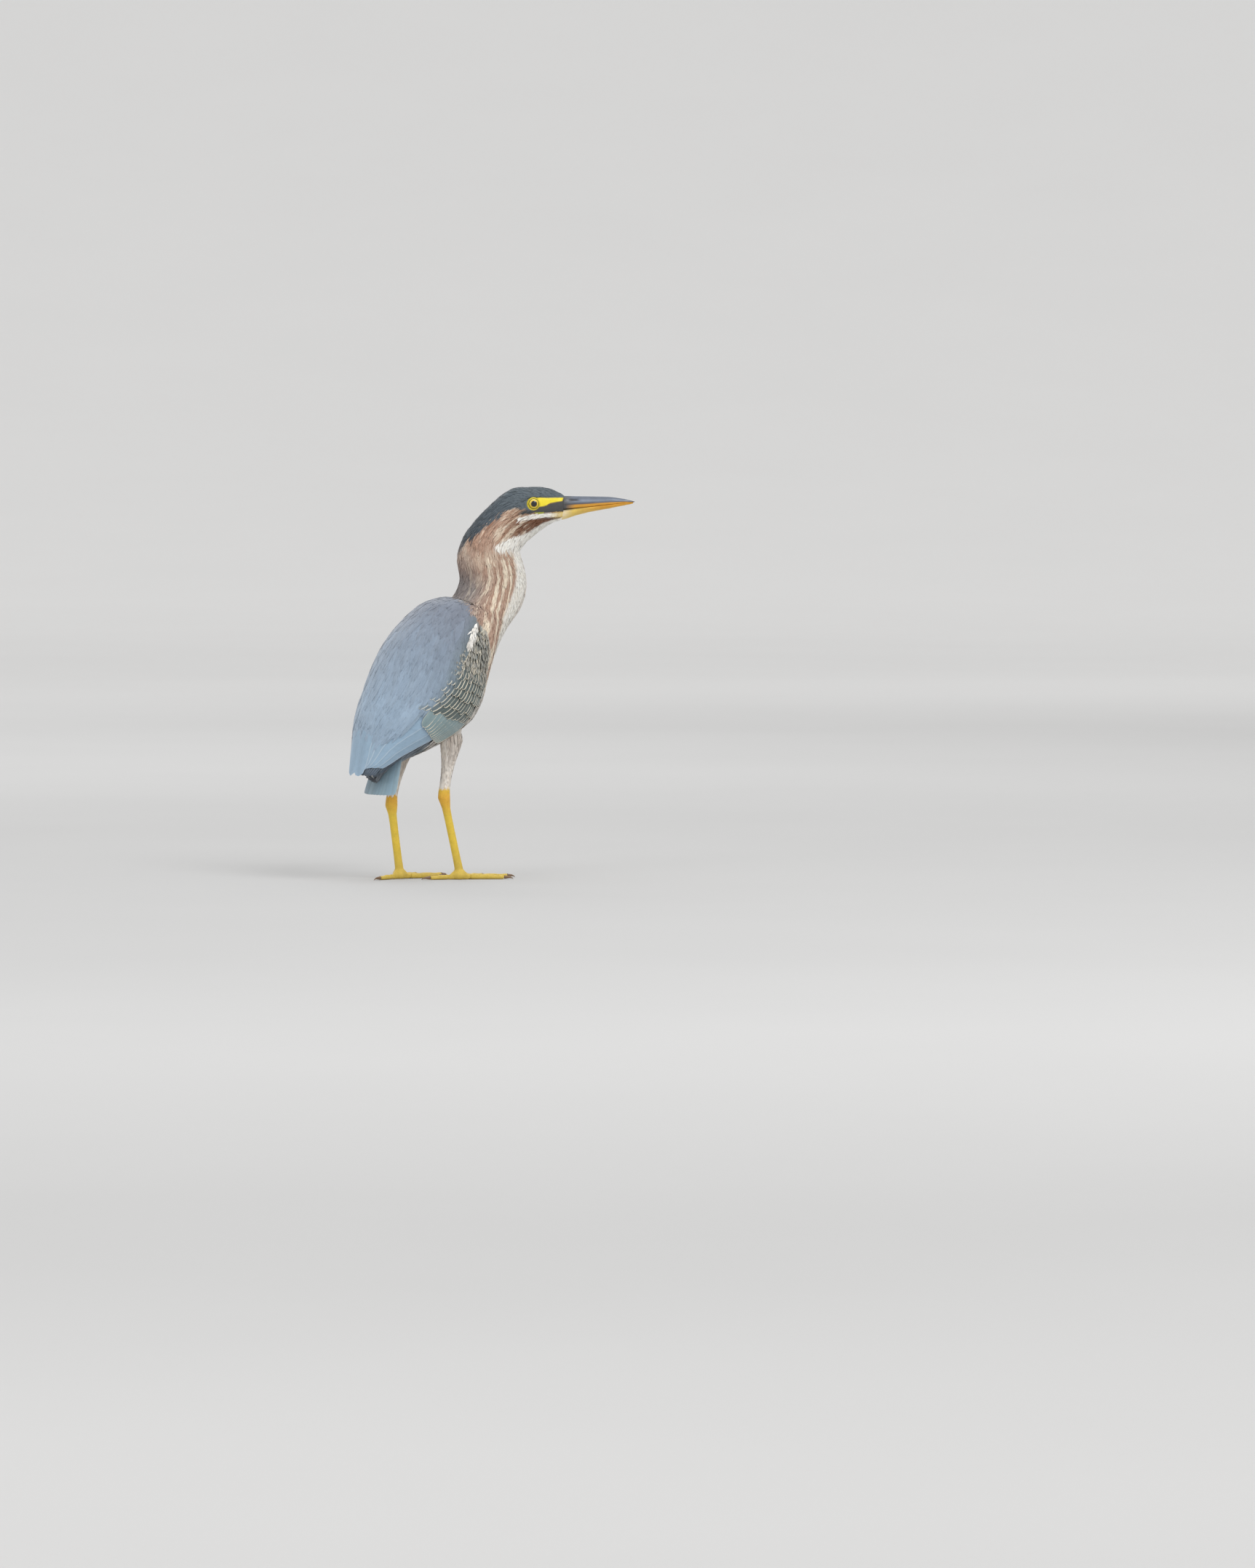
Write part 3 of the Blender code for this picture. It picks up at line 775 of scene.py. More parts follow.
def limb_places(points):
    """For each point: how many scutes along the nearest limb, how far it faces front, how far off."""
    best = np.full(len(points), 1e9)
    phase, front = np.zeros(len(points)), np.zeros(len(points))
    for near, far, pitch, is_shank in LIMB_AXES:
        axis = far - near
        length = np.linalg.norm(axis)
        axis = axis / length
        along = np.clip((points - near) @ axis, -4 * MM, length + 2 * MM)
        off = points - near - along[:, None] * axis
        away = np.linalg.norm(off, axis=1)
        facing = np.array([0, -1.0, 0.15]) if is_shank else np.array([0, 0, 1.0])
        toward = (off @ facing) / (away + 1e-9)
        mine = away < best
        best[mine] = away[mine]
        phase[mine] = (along / MM / pitch)[mine]
        front[mine] = toward[mine]
    return phase, front, best


def scute_shape(phase, front):
    """0 in the furrow between two scutes, 1 on their backs, and 0.6 off the front."""
    hump = 1 - np.abs(2 * (phase - np.floor(phase)) - 1) ** 6
    on_front = edge(front - 0.35, 0.4)
    return 0.6 * (1 - on_front) + hump * on_front


for leg in legs:
    bm = bmesh.new()
    bm.from_mesh(leg.data)
    bm.normal_update()
    places = np.array([vertex.co[:] for vertex in bm.verts])
    phase, front, away = limb_places(places)
    lift = (scute_shape(phase, front) - 0.6) * (away < 6 * MM) * (places[:, 2] > 0.6 * MM)
    for vertex, rise in zip(bm.verts, lift):
        vertex.co += vertex.normal * (SCUTE_HEIGHT * rise)
    bm.to_mesh(leg.data)
    bm.free()

for leg in legs:
    union = body_skin.modifiers.new("leg", "BOOLEAN")
    union.operation = "UNION"
    union.solver = "MANIFOLD"
    union.object = leg
applied(body_skin)
for leg in legs:
    bpy.data.objects.remove(leg)
body_skin.name = "skin"
body_skin.data.shade_smooth()
print("skin faces after the union", len(body_skin.data.polygons))

# %% [markdown]
# The union keeps no note of the map, so each corner of the skin looks up the nearest place of
# the map and takes its colour from there. On the legs the colour goes by height: orange at the
# heel, yellow down the shin and duller on the feet. Three more attributes say where the legs and
# the lore are bare, and carry the scutes to the material.

# %% Colours of the skin
HEEL_ORANGE = colour(236, 176, 62)
LEG_YELLOW = colour(238, 204, 72)
FOOT_OLIVE = colour(220, 190, 84)
LEG_TOP = 76.0                 # height where the feathers of the thigh end


def map_places(points):
    """The nearest place of the map, t and angle, for each point."""
    grid = WHOLE.points[::2, ::2]
    tree = KDTree(grid.shape[0] * grid.shape[1])
    for index, place in enumerate(grid.reshape(-1, 3)):
        tree.insert(place, index)
    tree.balance()
    found = np.array([tree.find(place)[1] for place in points])
    return T[::2][found // grid.shape[1]], ANGLE[::2][found % grid.shape[1]]


def mesh_places(mesh):
    places = np.empty(len(mesh.vertices) * 3)
    mesh.vertices.foreach_get("co", places)
    return places.reshape(-1, 3)


def set_colour(mesh, name, values):
    layer = mesh.attributes.new(name, "FLOAT_COLOR", "POINT")
    values = np.asarray(values, np.float32)
    if values.shape[1] == 3:
        values = np.hstack([values, np.ones((len(values), 1), np.float32)])
    layer.data.foreach_set("color", values.ravel())


def set_value(mesh, name, values):
    layer = mesh.attributes.new(name, "FLOAT", "POINT")
    layer.data.foreach_set("value", np.asarray(values, np.float32))


def set_vector(mesh, name, values):
    layer = mesh.attributes.new(name, "FLOAT_VECTOR", "POINT")
    layer.data.foreach_set("vector", np.asarray(values, np.float32).ravel())


skin = body_skin
places = mesh_places(skin.data)
skin_t, skin_a = map_places(places)
base = body_colour(skin_t, skin_a)
plane = head_plane(places)
bare_tint, bare = bare_colour(plane[:, 0], plane[:, 2])
bare = bare * (skin_t > 275)
base = mix(base, bare_tint, bare)
height = places[:, 2] / MM
phase, front, away = limb_places(places)
leg_colour = mix(LEG_YELLOW, HEEL_ORANGE, 0.8 * edge(8 - np.abs(height - 66), 12))
leg_colour = mix(leg_colour, FOOT_OLIVE, edge(16 - height, 22))
leg_colour = mix(leg_colour, THIGH, edge(height - LEG_TOP, 5))
off_body = np.linalg.norm(places - WHOLE.point(skin_t, skin_a, -coat_depth(skin_t)), axis=1)
is_leg = (height < LEG_TOP + 8) | ((height < 100) & (off_body > 3 * MM))
base = mix(base, leg_colour, is_leg * 1.0)
set_colour(skin.data, "tint", base)
bare_leg = is_leg & (height < LEG_TOP)
set_value(skin.data, "bare", bare_leg * 1.0)
set_value(skin.data, "lore", bare)
set_value(skin.data, "scute", np.where(bare_leg, scute_shape(phase, front), 0.6))
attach(skin, "root")
FLESH = BODY_NODES + WING_NODES + ["tail"]
FLESH += [f"{part}_{side}" for part in ("thigh", "shank", "foot") for side in SIDES]
FLESH += [f"toe_{name}_{side}" for name in TOE_NAMES for side in SIDES]
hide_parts(*FLESH)
print("skin corners", len(places), "of them on the legs", int(is_leg.sum()))

# %% [markdown]
# ## Feathers
#
# A feather is a vane on a shaft. Here each one is a thin closed shell: a ring of corners goes
# round the vane at a few stations, with one corner at the root and one at the tip. Hair
# particles or instances would be lighter, but they don't survive an export. The shells are
# worked out together as arrays, a whole tract at a time, because a coat has thousands.
#
# The shaft is walked over the ground from the root towards the tail, and the vane's width
# follows the ground's curve. Its height goes from deep in the coat at the root up to the
# surface at the tip, so each feather lies on the roots of those behind it, as real ones do.

# %% The vane's outline and its rings
# Share of the length, and the share of half the width there.
OUTLINES = {
    "scale": ((0, 0.30), (0.2, 0.72), (0.5, 1.0), (0.75, 0.94), (0.92, 0.6), (1, 0.2)),
    "plume": ((0, 0.30), (0.2, 0.80), (0.45, 1.0), (0.7, 0.80), (0.9, 0.36), (1, 0.05)),
    "round": ((0, 0.35), (0.1, 0.70), (0.3, 0.95), (0.6, 1.0), (0.82, 0.96), (0.91, 0.80),
              (0.96, 0.58), (0.985, 0.36), (1, 0.12)),
    "strap": ((0, 0.35), (0.1, 0.70), (0.3, 0.95), (0.6, 1.0), (0.85, 0.95), (0.96, 0.62), (1, 0.2)),
    "blunt": ((0, 0.35), (0.1, 0.70), (0.3, 0.95), (0.6, 1.0), (0.9, 0.98), (0.94, 0.92), (0.98, 0.74),
              (1, 0.3)),
}
# Where the rings stand along the vane, and how many steps go across it.
GRIDS = {
    "tiny": ((0.25, 0.6, 0.88), 2),
    "small": ((0.14, 0.4, 0.66, 0.86, 0.96), 2),
    "medium": ((0.1, 0.3, 0.5, 0.7, 0.86, 0.96), 4),
    "long": ((0.12, 0.35, 0.6, 0.82, 0.95), 3),
    "large": ((0.05, 0.14, 0.25, 0.38, 0.5, 0.62, 0.73, 0.82, 0.89, 0.94, 0.98), 8),
}
WALK = 4                       # steps of the shaft's walk between two stations


def ring_places(across):
    """Across positions of one ring and which face of the vane they are on, 1 above and -1 below."""
    top = np.linspace(-1, 1, across + 1)
    x = np.concatenate([top, top[-2:0:-1]])
    face = np.concatenate([np.ones(across + 1), -np.ones(across - 1)])
    return x, face


def vane_faces(stations, sides):
    """Triangles at both ends and quads between the rings of one vane."""
    ring = 1 + np.arange(stations * sides).reshape(stations, sides)
    after = np.roll(ring, -1, axis=1)
    root = np.stack([np.zeros(sides, int), ring[0], after[0]], -1)
    tip = np.stack([np.full(sides, 1 + stations * sides), after[-1], ring[-1]], -1)
    quads = np.stack([ring[:-1], ring[1:], after[1:], after[:-1]], -1).reshape(-1, 4)
    return np.vstack([root, tip]), quads


def spread(value, count):
    return np.broadcast_to(np.asarray(value, float), (count,)).astype(float)


def vanes(ground, t, a, length, width, outline="scale", grid="small", flow=0.0, root=None,
          tip=0.0, arch=0.06, roll=0.0, thick=0.3, tint=None, rim=None, core=None,
          patch=(0.003, 0.003), lift=None, outer=0.0, strips=None):
    """Feathers with their roots at (t, a) as one batch of arrays.

    root is the depth there, tip and lift raise the vane's end, and flow is its lean or a function
    for it. rim and core are colours with an amount. strips, the first number and how many there
    are, gives each feather a strip of the bake's map to itself.
    """
    count = len(t)
    stations, across = GRIDS[grid]
    length, width = spread(length, count), spread(width, count)
    tip, arch, roll, thick = (spread(v, count) for v in (tip, arch, roll, thick))
    root = coat_depth(t) * 0.85 if root is None else spread(root, count)
    share = np.concatenate([[0.0], stations, [1.0]])
    walk_t, walk_a = np.array(t, float), np.array(a, float)
    at_t, at_a, heading = [walk_t], [walk_a], []
    for before, now in zip(share, share[1:]):
        for _ in range(WALK):
            turn = flow(walk_t, walk_a) if callable(flow) else spread(flow, count)
            step = length * (now - before) / WALK
            walk_t = walk_t - step * np.cos(turn) / ground.read(ground.per_t, walk_t, walk_a)
            walk_a = walk_a + step * np.sin(turn) / ground.read(ground.per_a, walk_t, walk_a)
        at_t, at_a, heading = at_t + [walk_t], at_a + [walk_a], heading + [turn]
    heading = np.stack([heading[0]] + heading, 1)
    at_t, at_a = np.stack(at_t, 1), np.stack(at_a, 1)

    x, face = ring_places(across)
    s = np.repeat(share, [1] + [len(x)] * len(stations) + [1])
    pick = np.repeat(np.arange(len(share)), [1] + [len(x)] * len(stations) + [1])
    x = np.concatenate([[0.0], np.tile(x, len(stations)), [0.0]])
    face = np.concatenate([[0.0], np.tile(face, len(stations)), [0.0]])
    half = width[:, None] / 2 * read_line(OUTLINES[outline], s)[None, :]
    shaft_t, shaft_a, turn = at_t[:, pick], at_a[:, pick], heading[:, pick]
    side_t = x * half * np.sin(turn) / ground.read(ground.per_t, shaft_t, shaft_a)
    side_a = x * half * np.cos(turn) / ground.read(ground.per_a, shaft_t, shaft_a)
    rise = -root[:, None] * (1 - s) ** 1.7 + tip[:, None] * s ** 2
    if lift is not None:
        rise = rise + lift[:, None] * s ** 2.5
    rise = rise - arch[:, None] * half * x ** 2 + roll[:, None] * half * x
    shell = thick[:, None] / 2 * np.sqrt(1 - x ** 2 + 1e-9) * face * np.sin(math.pi * (0.1 + 0.8 * s))
    points = ground.point(shaft_t + side_t, shaft_a + side_a, rise + shell)

    rgba = np.ones((count, 3, 4))
    for k, value in enumerate((tint, rim, core)):
        if value is None:
            value = np.zeros((count, 4)) if k else np.ones((count, 4))
        value = np.asarray(value, float)
        rgba[:, k, :value.shape[1]] = value
    place = ground.patch_place(np.array(t), np.array(a))
    if strips:
        first, total = strips
        place = np.stack([(first + np.arange(count) + 0.5) / total, np.full(count, 0.5)], -1)
    uv = place[:, None, :] + np.stack([x * 0.5, s - 0.5], -1)[None] * np.asarray(patch)
    number = RANDOM.random(count)
    shape = np.stack(np.broadcast_arrays(x, s, number[:, None]), -1)
    size = np.stack(np.broadcast_arrays(length[:, None], width[:, None], float(outer), x)[:3], -1)
    return {"points": points, "uv": uv, "shape": shape, "size": size, "rgba": rgba,
            "faces": vane_faces(len(stations), len(ring_places(across)[0]))}


# %% [markdown]
# A tract's batches are joined into one mesh by filling its corner, edge and face arrays at once.
# Every vane carries its own colours, and its place along and across itself, so that the
# material can draw the barbs, the pale fringe and the streak down the shaft. The rim where the
# upper and lower faces meet is marked sharp, or smooth shading would round it like a sausage.

# %% Join batches into one piece
def joined(name, batches, material):
    points, uvs, faces, sizes, offset = [], [], [], [], 0
    layers = {"vane": [], "size": [], "rgba": []}
    for batch in batches:
        count, corners_each = batch["points"].shape[:2]
        starts = offset + np.arange(count) * corners_each
        for group in batch["faces"]:
            faces.append((starts[:, None, None] + group[None]).reshape(-1))
            sizes.append(np.full(count * len(group), group.shape[1]))
        offset += count * corners_each
        points.append(batch["points"].reshape(-1, 3))
        uvs.append(batch["uv"].reshape(-1, 2))
        layers["vane"].append(batch["shape"].reshape(-1, 3))
        layers["size"].append(batch["size"].reshape(-1, 3))
        layers["rgba"].append(np.repeat(batch["rgba"], corners_each, axis=0))
    points, uvs, faces, sizes = map(np.concatenate, (points, uvs, faces, sizes))
    vane, size, rgba = (np.concatenate(layers[key]) for key in ("vane", "size", "rgba"))
    mesh = bpy.data.meshes.new(name)
    mesh.vertices.add(len(points))
    mesh.vertices.foreach_set("co", points.astype(np.float32).ravel())
    mesh.loops.add(len(faces))
    mesh.loops.foreach_set("vertex_index", faces.astype(np.int32))
    mesh.polygons.add(len(sizes))
    mesh.polygons.foreach_set("loop_start", (np.cumsum(sizes) - sizes).astype(np.int32))
    mesh.update(calc_edges=True)
    mesh.shade_smooth()
    across, along = vane[:, :2].T
    outer_corner = (np.abs(across) > 0.99) | (np.abs(along - 0.5) > 0.499)
    ends = np.empty(len(mesh.edges) * 2, np.int32)
    mesh.edges.foreach_get("vertices", ends)
    on_rim = outer_corner[ends.reshape(-1, 2)].all(axis=1)
    mesh.attributes.new("sharp_edge", "BOOLEAN", "EDGE").data.foreach_set("value", on_rim)
    for k, key in enumerate(("tint", "rim", "core")):
        set_colour(mesh, key, rgba[:, k])
    set_vector(mesh, "vane", vane)
    set_vector(mesh, "size", size)
    uv = mesh.uv_layers.new(name="OFBake")
    uv.data.foreach_set("uv", uvs[faces].astype(np.float32).ravel())
    mesh.materials.append(material)
    add_object(name, mesh, "plumage")
    triangles = int((sizes - 2).sum())
    print(f"{name}: {sum(len(b['points']) for b in batches)} feathers, {triangles} triangles")


def arc_along(ground, t, angles):
    """Millimetres round the ground at one t, up to each of a run of angles."""
    scale = ground.read(ground.per_a, np.full(len(angles), t), angles)
    return np.concatenate([[0], np.cumsum((scale[1:] + scale[:-1]) / 2 * np.abs(np.diff(angles)))])


def rows(ground, t_low, t_high, pitch_t, pitch_a, where, closest=1.5):
    """Places in staggered rows, pitch_t and pitch_a millimetres apart on the ground itself."""
    step = pitch_t / closest
    found_t, found_a = [], []
    for number, t in enumerate(np.arange(t_low, t_high, step)):
        fine = np.linspace(ground.first, ground.last, 721)
        arc = arc_along(ground, t, fine)
        count = max(int(arc[-1] / pitch_a), 3)
        spots = (np.arange(count) + 0.5 * (number % 2) + RANDOM.uniform(-0.3, 0.3, count))
        a = np.interp(spots / count * arc[-1], arc, fine)
        this_t = t + RANDOM.uniform(-0.45, 0.45, count) * step
        keep = RANDOM.random(count) < ground.read(ground.per_t, this_t, a) / closest
        found_t.append(this_t[keep])
        found_a.append(a[keep])
    t, a = np.concatenate(found_t), np.concatenate(found_a)
    keep = where(t, a)
    return t[keep], a[keep]


def varied(values, share):
    """Values scattered a little round themselves."""
    return values * RANDOM.uniform(1 - share, 1 + share, len(values))


def shaded(tint, share=0.08, warm=0.02):
    """Colours scattered a little in brightness, and less in warmth."""
    light = RANDOM.uniform(1 - share, 1 + share, (len(tint), 1))
    tilt = RANDOM.uniform(-warm, warm, (len(tint), 1)) * np.array([[1, 0, -1]])
    return np.clip(tint * (light + tilt), 0, 1)


def each(tint, places):
    """The same colour once for every place."""
    return np.broadcast_to(tint, (len(places), 3))


def with_amount(rgb, amount, count):
    """One colour or a list of them, with how strongly each feather shows it."""
    out = np.empty((count, 4))
    out[:, :3] = rgb
    out[:, 3] = amount
    return out


def degrees_out(a):
    """Degrees from the back line, the same on both sides."""
    return np.abs(np.degrees((a + math.pi) % (2 * math.pi) - math.pi))


# %% [markdown]
# ### What feathers are made of
#
# One node group draws a vane from its own coordinates: barbs that slant from the shaft to the
# edge, the shaft, the pale fringe and the streak. It gives a colour and a height. Each feather
# material places it with its own numbers and adds a soft sheen on its own shader.

# %% Helpers for node trees
def node(tree, kind, inputs=None, **settings):
    made = tree.nodes.new(kind)
    for key, value in settings.items():
        setattr(made, key, value)
    for key, value in (inputs or {}).items():
        if isinstance(value, bpy.types.NodeSocket):
            tree.links.new(value, made.inputs[key])
        else:
            made.inputs[key].default_value = value
    return made


def calc(tree, operation, *values):
    return node(tree, "ShaderNodeMath", dict(enumerate(values)), operation=operation).outputs[0]


def times(tree, first, second):
    return calc(tree, "MULTIPLY", first, second)


def plus(tree, first, second):
    return calc(tree, "ADD", first, second)


def minus(tree, first, second):
    return calc(tree, "SUBTRACT", first, second)


def attribute(tree, name, output="Vector"):
    return node(tree, "ShaderNodeAttribute", attribute_name=name).outputs[output]


def three_of(tree, name):
    """The three numbers that an attribute carries."""
    return node(tree, "ShaderNodeSeparateXYZ", {0: attribute(tree, name)}).outputs[:3]


def place_on(tree):
    """The place on the object itself."""
    return node(tree, "ShaderNodeTexCoord").outputs["Object"]


def noise(tree, place, scale, detail, roughness=0.5):
    levels = {"Vector": place, "Scale": scale, "Detail": detail, "Roughness": roughness}
    return node(tree, "ShaderNodeTexNoise", levels).outputs[0]


def net(tree, place, scale):
    """How far a place is from the lines of a net of small cells."""
    return node(tree, "ShaderNodeTexVoronoi", {"Vector": place, "Scale": scale},
                feature="DISTANCE_TO_EDGE").outputs[0]


def grey(tree, light):
    return node(tree, "ShaderNodeCombineColor", {0: light, 1: light, 2: light}).outputs[0]


def set_relief(tree, shader, height, depth):
    """Bump on a shader, its depth in millimetres."""
    relief = node(tree, "ShaderNodeBump", {"Height": height, "Distance": depth * MM})
    tree.links.new(relief.outputs[0], shader.inputs["Normal"])


def ramp(tree, value, low, high, to_low=0.0, to_high=1.0):
    """A smooth step of a value from one level to another."""
    made = node(tree, "ShaderNodeMapRange", {0: value, 1: low, 2: high, 3: to_low, 4: to_high})
    made.interpolation_type = "SMOOTHSTEP"
    return made.outputs[0]


def blend(tree, amount, first, second, mode="MIX"):
    made = node(tree, "ShaderNodeMix", data_type="RGBA", blend_type=mode)
    for key, value in ((0, amount), (6, first), (7, second)):
        if isinstance(value, bpy.types.NodeSocket):
            tree.links.new(value, made.inputs[key])
        elif key:
            made.inputs[key].default_value = (*value, 1) if len(value) == 3 else value
        else:
            made.inputs[key].default_value = value
    return made.outputs[2]


def new_group(name, inputs, outputs):
    group = bpy.data.node_groups.new(name, "ShaderNodeTree")
    for label, kind, value in inputs:
        socket = group.interface.new_socket(label, in_out="INPUT", socket_type=kind)
        socket.default_value = value
    for label, kind in outputs:
        group.interface.new_socket(label, in_out="OUTPUT", socket_type=kind)
    return group, group.nodes.new("NodeGroupInput").outputs, group.nodes.new("NodeGroupOutput").inputs


def new_material(name):
    material = bpy.data.materials.new(name)
    material.use_nodes = True
    tree = material.node_tree
    return material, tree, tree.nodes["Principled BSDF"]


def set_levels(made, **levels):
    """Constant values on a node's own sockets, with _ for each space in a name."""
    for key, value in levels.items():
        made.inputs[key.replace("_", " ")].default_value = value


def place_group(tree, group, **levels):
    made = node(tree, "ShaderNodeGroup", node_tree=group)
    set_levels(made, **levels)
    return made.outputs


# %% The vane's node group
def make_vane_group():
    number = "NodeSocketFloat"
    group, given, out = new_group(
        "feather vane",
        [("Barb Pitch", number, 0.6), ("Barb Depth", number, 0.2), ("Fringe", number, 0.5),
         ("Streak", number, 0.25), ("Mottle", number, 0.12)],
        [("Color", "NodeSocketColor"), ("Height", number)])
    across, along, chance = three_of(group, "vane")
    length, width, outer = three_of(group, "size")
    tint = attribute(group, "tint", "Color")
    rim = node(group, "ShaderNodeAttribute", attribute_name="rim")
    core = node(group, "ShaderNodeAttribute", attribute_name="core")
    off_shaft = calc(group, "ABSOLUTE", across)

    from_side = times(group, minus(group, 1.0, off_shaft), width)
    from_tip = times(group, minus(group, 1.0, along), length)
    from_rim = calc(group, "MINIMUM", times(group, from_side, 0.5), times(group, from_tip, 1.3))
    wobble = times(group, noise(group, place_on(group), 600.0, 2.0), 0.6)
    wobble = plus(group, 0.7, wobble)
    fringe_width = times(group, given["Fringe"], wobble)
    ratio = calc(group, "DIVIDE", from_rim, fringe_width)
    fringe = times(group, ramp(group, ratio, 0.6, 1.4, 1.0, 0.0), rim.outputs["Alpha"])
    outward = times(group, across, outer)
    fringe = times(group, fringe, ramp(group, outward, -0.5, 0.0, 0.25, 1.0))
    streak_edge = calc(group, "DIVIDE", off_shaft, given["Streak"])
    streak_at = ramp(group, streak_edge, 0.7, 1.3, 1.0, 0.0)
    streak_at = times(group, streak_at, core.outputs["Alpha"])

    slant = times(group, times(group, off_shaft, width), 0.55)
    run = calc(group, "DIVIDE", plus(group, times(group, along, length), slant), given["Barb Pitch"])
    strands = node(group, "ShaderNodeCombineXYZ", {0: times(group, run, 1.6),
                   1: times(group, across, 1.1), 2: times(group, chance, 97.0)})
    fuzz = noise(group, strands.outputs[0], 1.0, 3.0, 0.65)
    lines = calc(group, "SINE", times(group, run, 2 * math.pi))
    barbs = plus(group, times(group, lines, 0.2), fuzz)
    shaft = ramp(group, off_shaft, 0.0, 0.09, 1.0, 0.0)
    broad = noise(group, place_on(group), 190.0, 3.0)

    light = times(group, minus(group, barbs, 0.5), given["Barb Depth"])
    light = plus(group, light, times(group, minus(group, broad, 0.5), given["Mottle"]))
    light = plus(group, light, 1.0)
    light = minus(group, light, times(group, shaft, 0.06))
    colour_out = blend(group, streak_at, tint, core.outputs["Color"])
    colour_out = blend(group, 1.0, colour_out, grey(group, light), "MULTIPLY")
    colour_out = blend(group, fringe, colour_out, rim.outputs["Color"])
    group.links.new(colour_out, out["Color"])
    group.links.new(plus(group, barbs, times(group, shaft, 0.8)), out["Height"])
    return group


VANE_GROUP = make_vane_group()


def feather_material(name, barb_pitch=0.6, barb_depth=0.3, fringe=0.5, streak=0.25, mottle=0.2,
                     rough=0.7, sheen=0.25, bump=0.06):
    material, tree, shader = new_material(name)
    out = place_group(tree, VANE_GROUP, Barb_Pitch=barb_pitch, Barb_Depth=barb_depth,
                      Fringe=fringe, Streak=streak, Mottle=mottle)
    tree.links.new(out["Color"], shader.inputs["Base Color"])
    set_relief(tree, shader, out["Height"], bump)
    set_levels(shader, Roughness=rough, Sheen_Weight=sheen, Sheen_Roughness=0.45,
               Specular_IOR_Level=0.3)
    return material


SOFT = feather_material("soft feathers", fringe=0.25, mottle=0.16)
# On the back's plumes the fringe is a painted light rim that evens out the shadows between them.
PLUME = feather_material("back plumes", barb_pitch=0.7, barb_depth=0.26, fringe=0.4, mottle=0.3,
                         rough=0.62, sheen=0.35)
STIFF = feather_material("wing feathers", barb_pitch=0.8, barb_depth=0.24, fringe=0.75, streak=0.45,
                         rough=0.55, sheen=0.2, bump=0.1)

# %% [markdown]
# ### Head and neck
#
# The face has the smallest feathers of the bird, scales not 4 mm long. They grow longer over the
# cap and down the neck, where they are soft strands of 10 to 14 mm. Bare skin is left round the eye
# and on the lore.

# %% Feathers of the head
def covered(t, a):
    """Whether a place of the head has feathers."""
    ahead, up = WHOLE.read(AHEAD, t, a), WHOLE.read(UP, t, a)
    beside = degrees_out(a) > 12
    eye = np.hypot(ahead - EYE_AHEAD, up - EYE_UP) < 5.9
    bare = (bare_colour(ahead, up)[1] > 0.05) | eye
    return ~(bare & beside) & (t < LENGTH - 1.3)


def head_length(t, a):
    """How long the feathers are: short on the face, longer on the cap and towards the nape."""
    turn = degrees_out(a)
    face = np.interp(t, (236, 262, 285, 300, LENGTH), (13, 7.5, 4.6, 3.6, 2.6))
    return face * (1 + 0.6 * edge(60 - turn, 40) * edge(300 - t, 20))


t, a = rows(WHOLE, 236, LENGTH - 0.5, 1.55, 1.05, covered, closest=1.6)
length = varied(head_length(t, a), 0.15)
middle = t - 0.6 * length / WHOLE.read(WHOLE.per_t, t, a)
tint = shaded(body_colour(middle, a), 0.07)
lift = 0.25 * edge(0.6 - RANDOM.random(len(t)), 0.5) * (length > 6)
brown = (tint[:, 0] > 1.15 * tint[:, 2]) & (tint[:, 0] < 0.6)
hair = with_amount(CREAM, 0.55 * RANDOM.random(len(t)) * brown * edge(282 - t, 16), len(t))
face = vanes(WHOLE, t, a, length, varied(0.8 + 0.055 * length, 0.2), "plume", "tiny",
             root=coat_depth(t) * 0.8 + 0.3 * edge(t - 305, 8),
             tip=RANDOM.uniform(-0.12, 0.15, len(t)) - 0.35 * edge(t - 305, 8), lift=lift,
             thick=0.14, tint=tint, core=hair, flow=RANDOM.normal(0, 0.06, len(t)))
joined("coat_head", [face], SOFT)

# %% [markdown]
# The crest is a bundle of long narrow plumes that starts on the cap and lies down the nape, with
# its tips a little off the neck.

# %% Crest plumes
def on_crest(t, a):
    return degrees_out(a) < 64 - 0.5 * np.maximum(t - 262, 0)


t, a = rows(WHOLE, 250, 302, 1.9, 1.5, on_crest, closest=1.8)
length = varied(np.interp(t, (252, 270, 285, 302), (20, 22, 15, 8)), 0.12)
tint = shaded(body_colour(t - 2, a), 0.07)
loose = edge(280 - t, 30)
crest = vanes(WHOLE, t, a, length, varied(1.7 + 0 * t, 0.2), "plume", "small",
              root=1.2, tip=RANDOM.uniform(0.0, 0.3, len(t)), lift=RANDOM.uniform(0, 0.7, len(t)) * loose,
              thick=0.18, tint=tint, flow=RANDOM.normal(0, 0.04, len(t)))
joined("coat_crest", [crest], SOFT)

# %% [markdown]
# The neck's coat is laid twice: an even cover of broader feathers, and over it narrow strands
# that take more cream, so the streaks have soft broken ends as on the bird.

# %% Feathers of the neck
def on_neck(t, a):
    turn = degrees_out(a)
    return t > read_line(COLLAR, turn) + 2 + 13 * edge(78 - turn, 36)


def neck_batch(pitch_t, pitch_a, length, width, tip, pale, grid):
    t, a = rows(BARE, 112, 242, pitch_t, pitch_a, on_neck, closest=1.8)
    size = varied(length * np.interp(t, (150, 240), (1.1, 0.75)), 0.2)
    middle = t - 0.5 * size / BARE.read(BARE.per_t, t, a)
    tint = shaded(body_colour(middle, a), 0.09)
    turn = degrees_out(a)
    amount = pale * RANDOM.random(len(t)) ** 2 * edge(turn - 50, 60)
    return vanes(BARE, t, a, size, varied(width + 0 * t, 0.2), "plume", grid,
                 tip=RANDOM.uniform(tip - 0.1, tip + 0.1, len(t)), thick=0.12, tint=tint,
                 core=with_amount(CREAM, amount, len(t)),
                 lift=0.35 * RANDOM.random(len(t)) ** 5,
                 flow=RANDOM.normal(0, 0.04, len(t)))


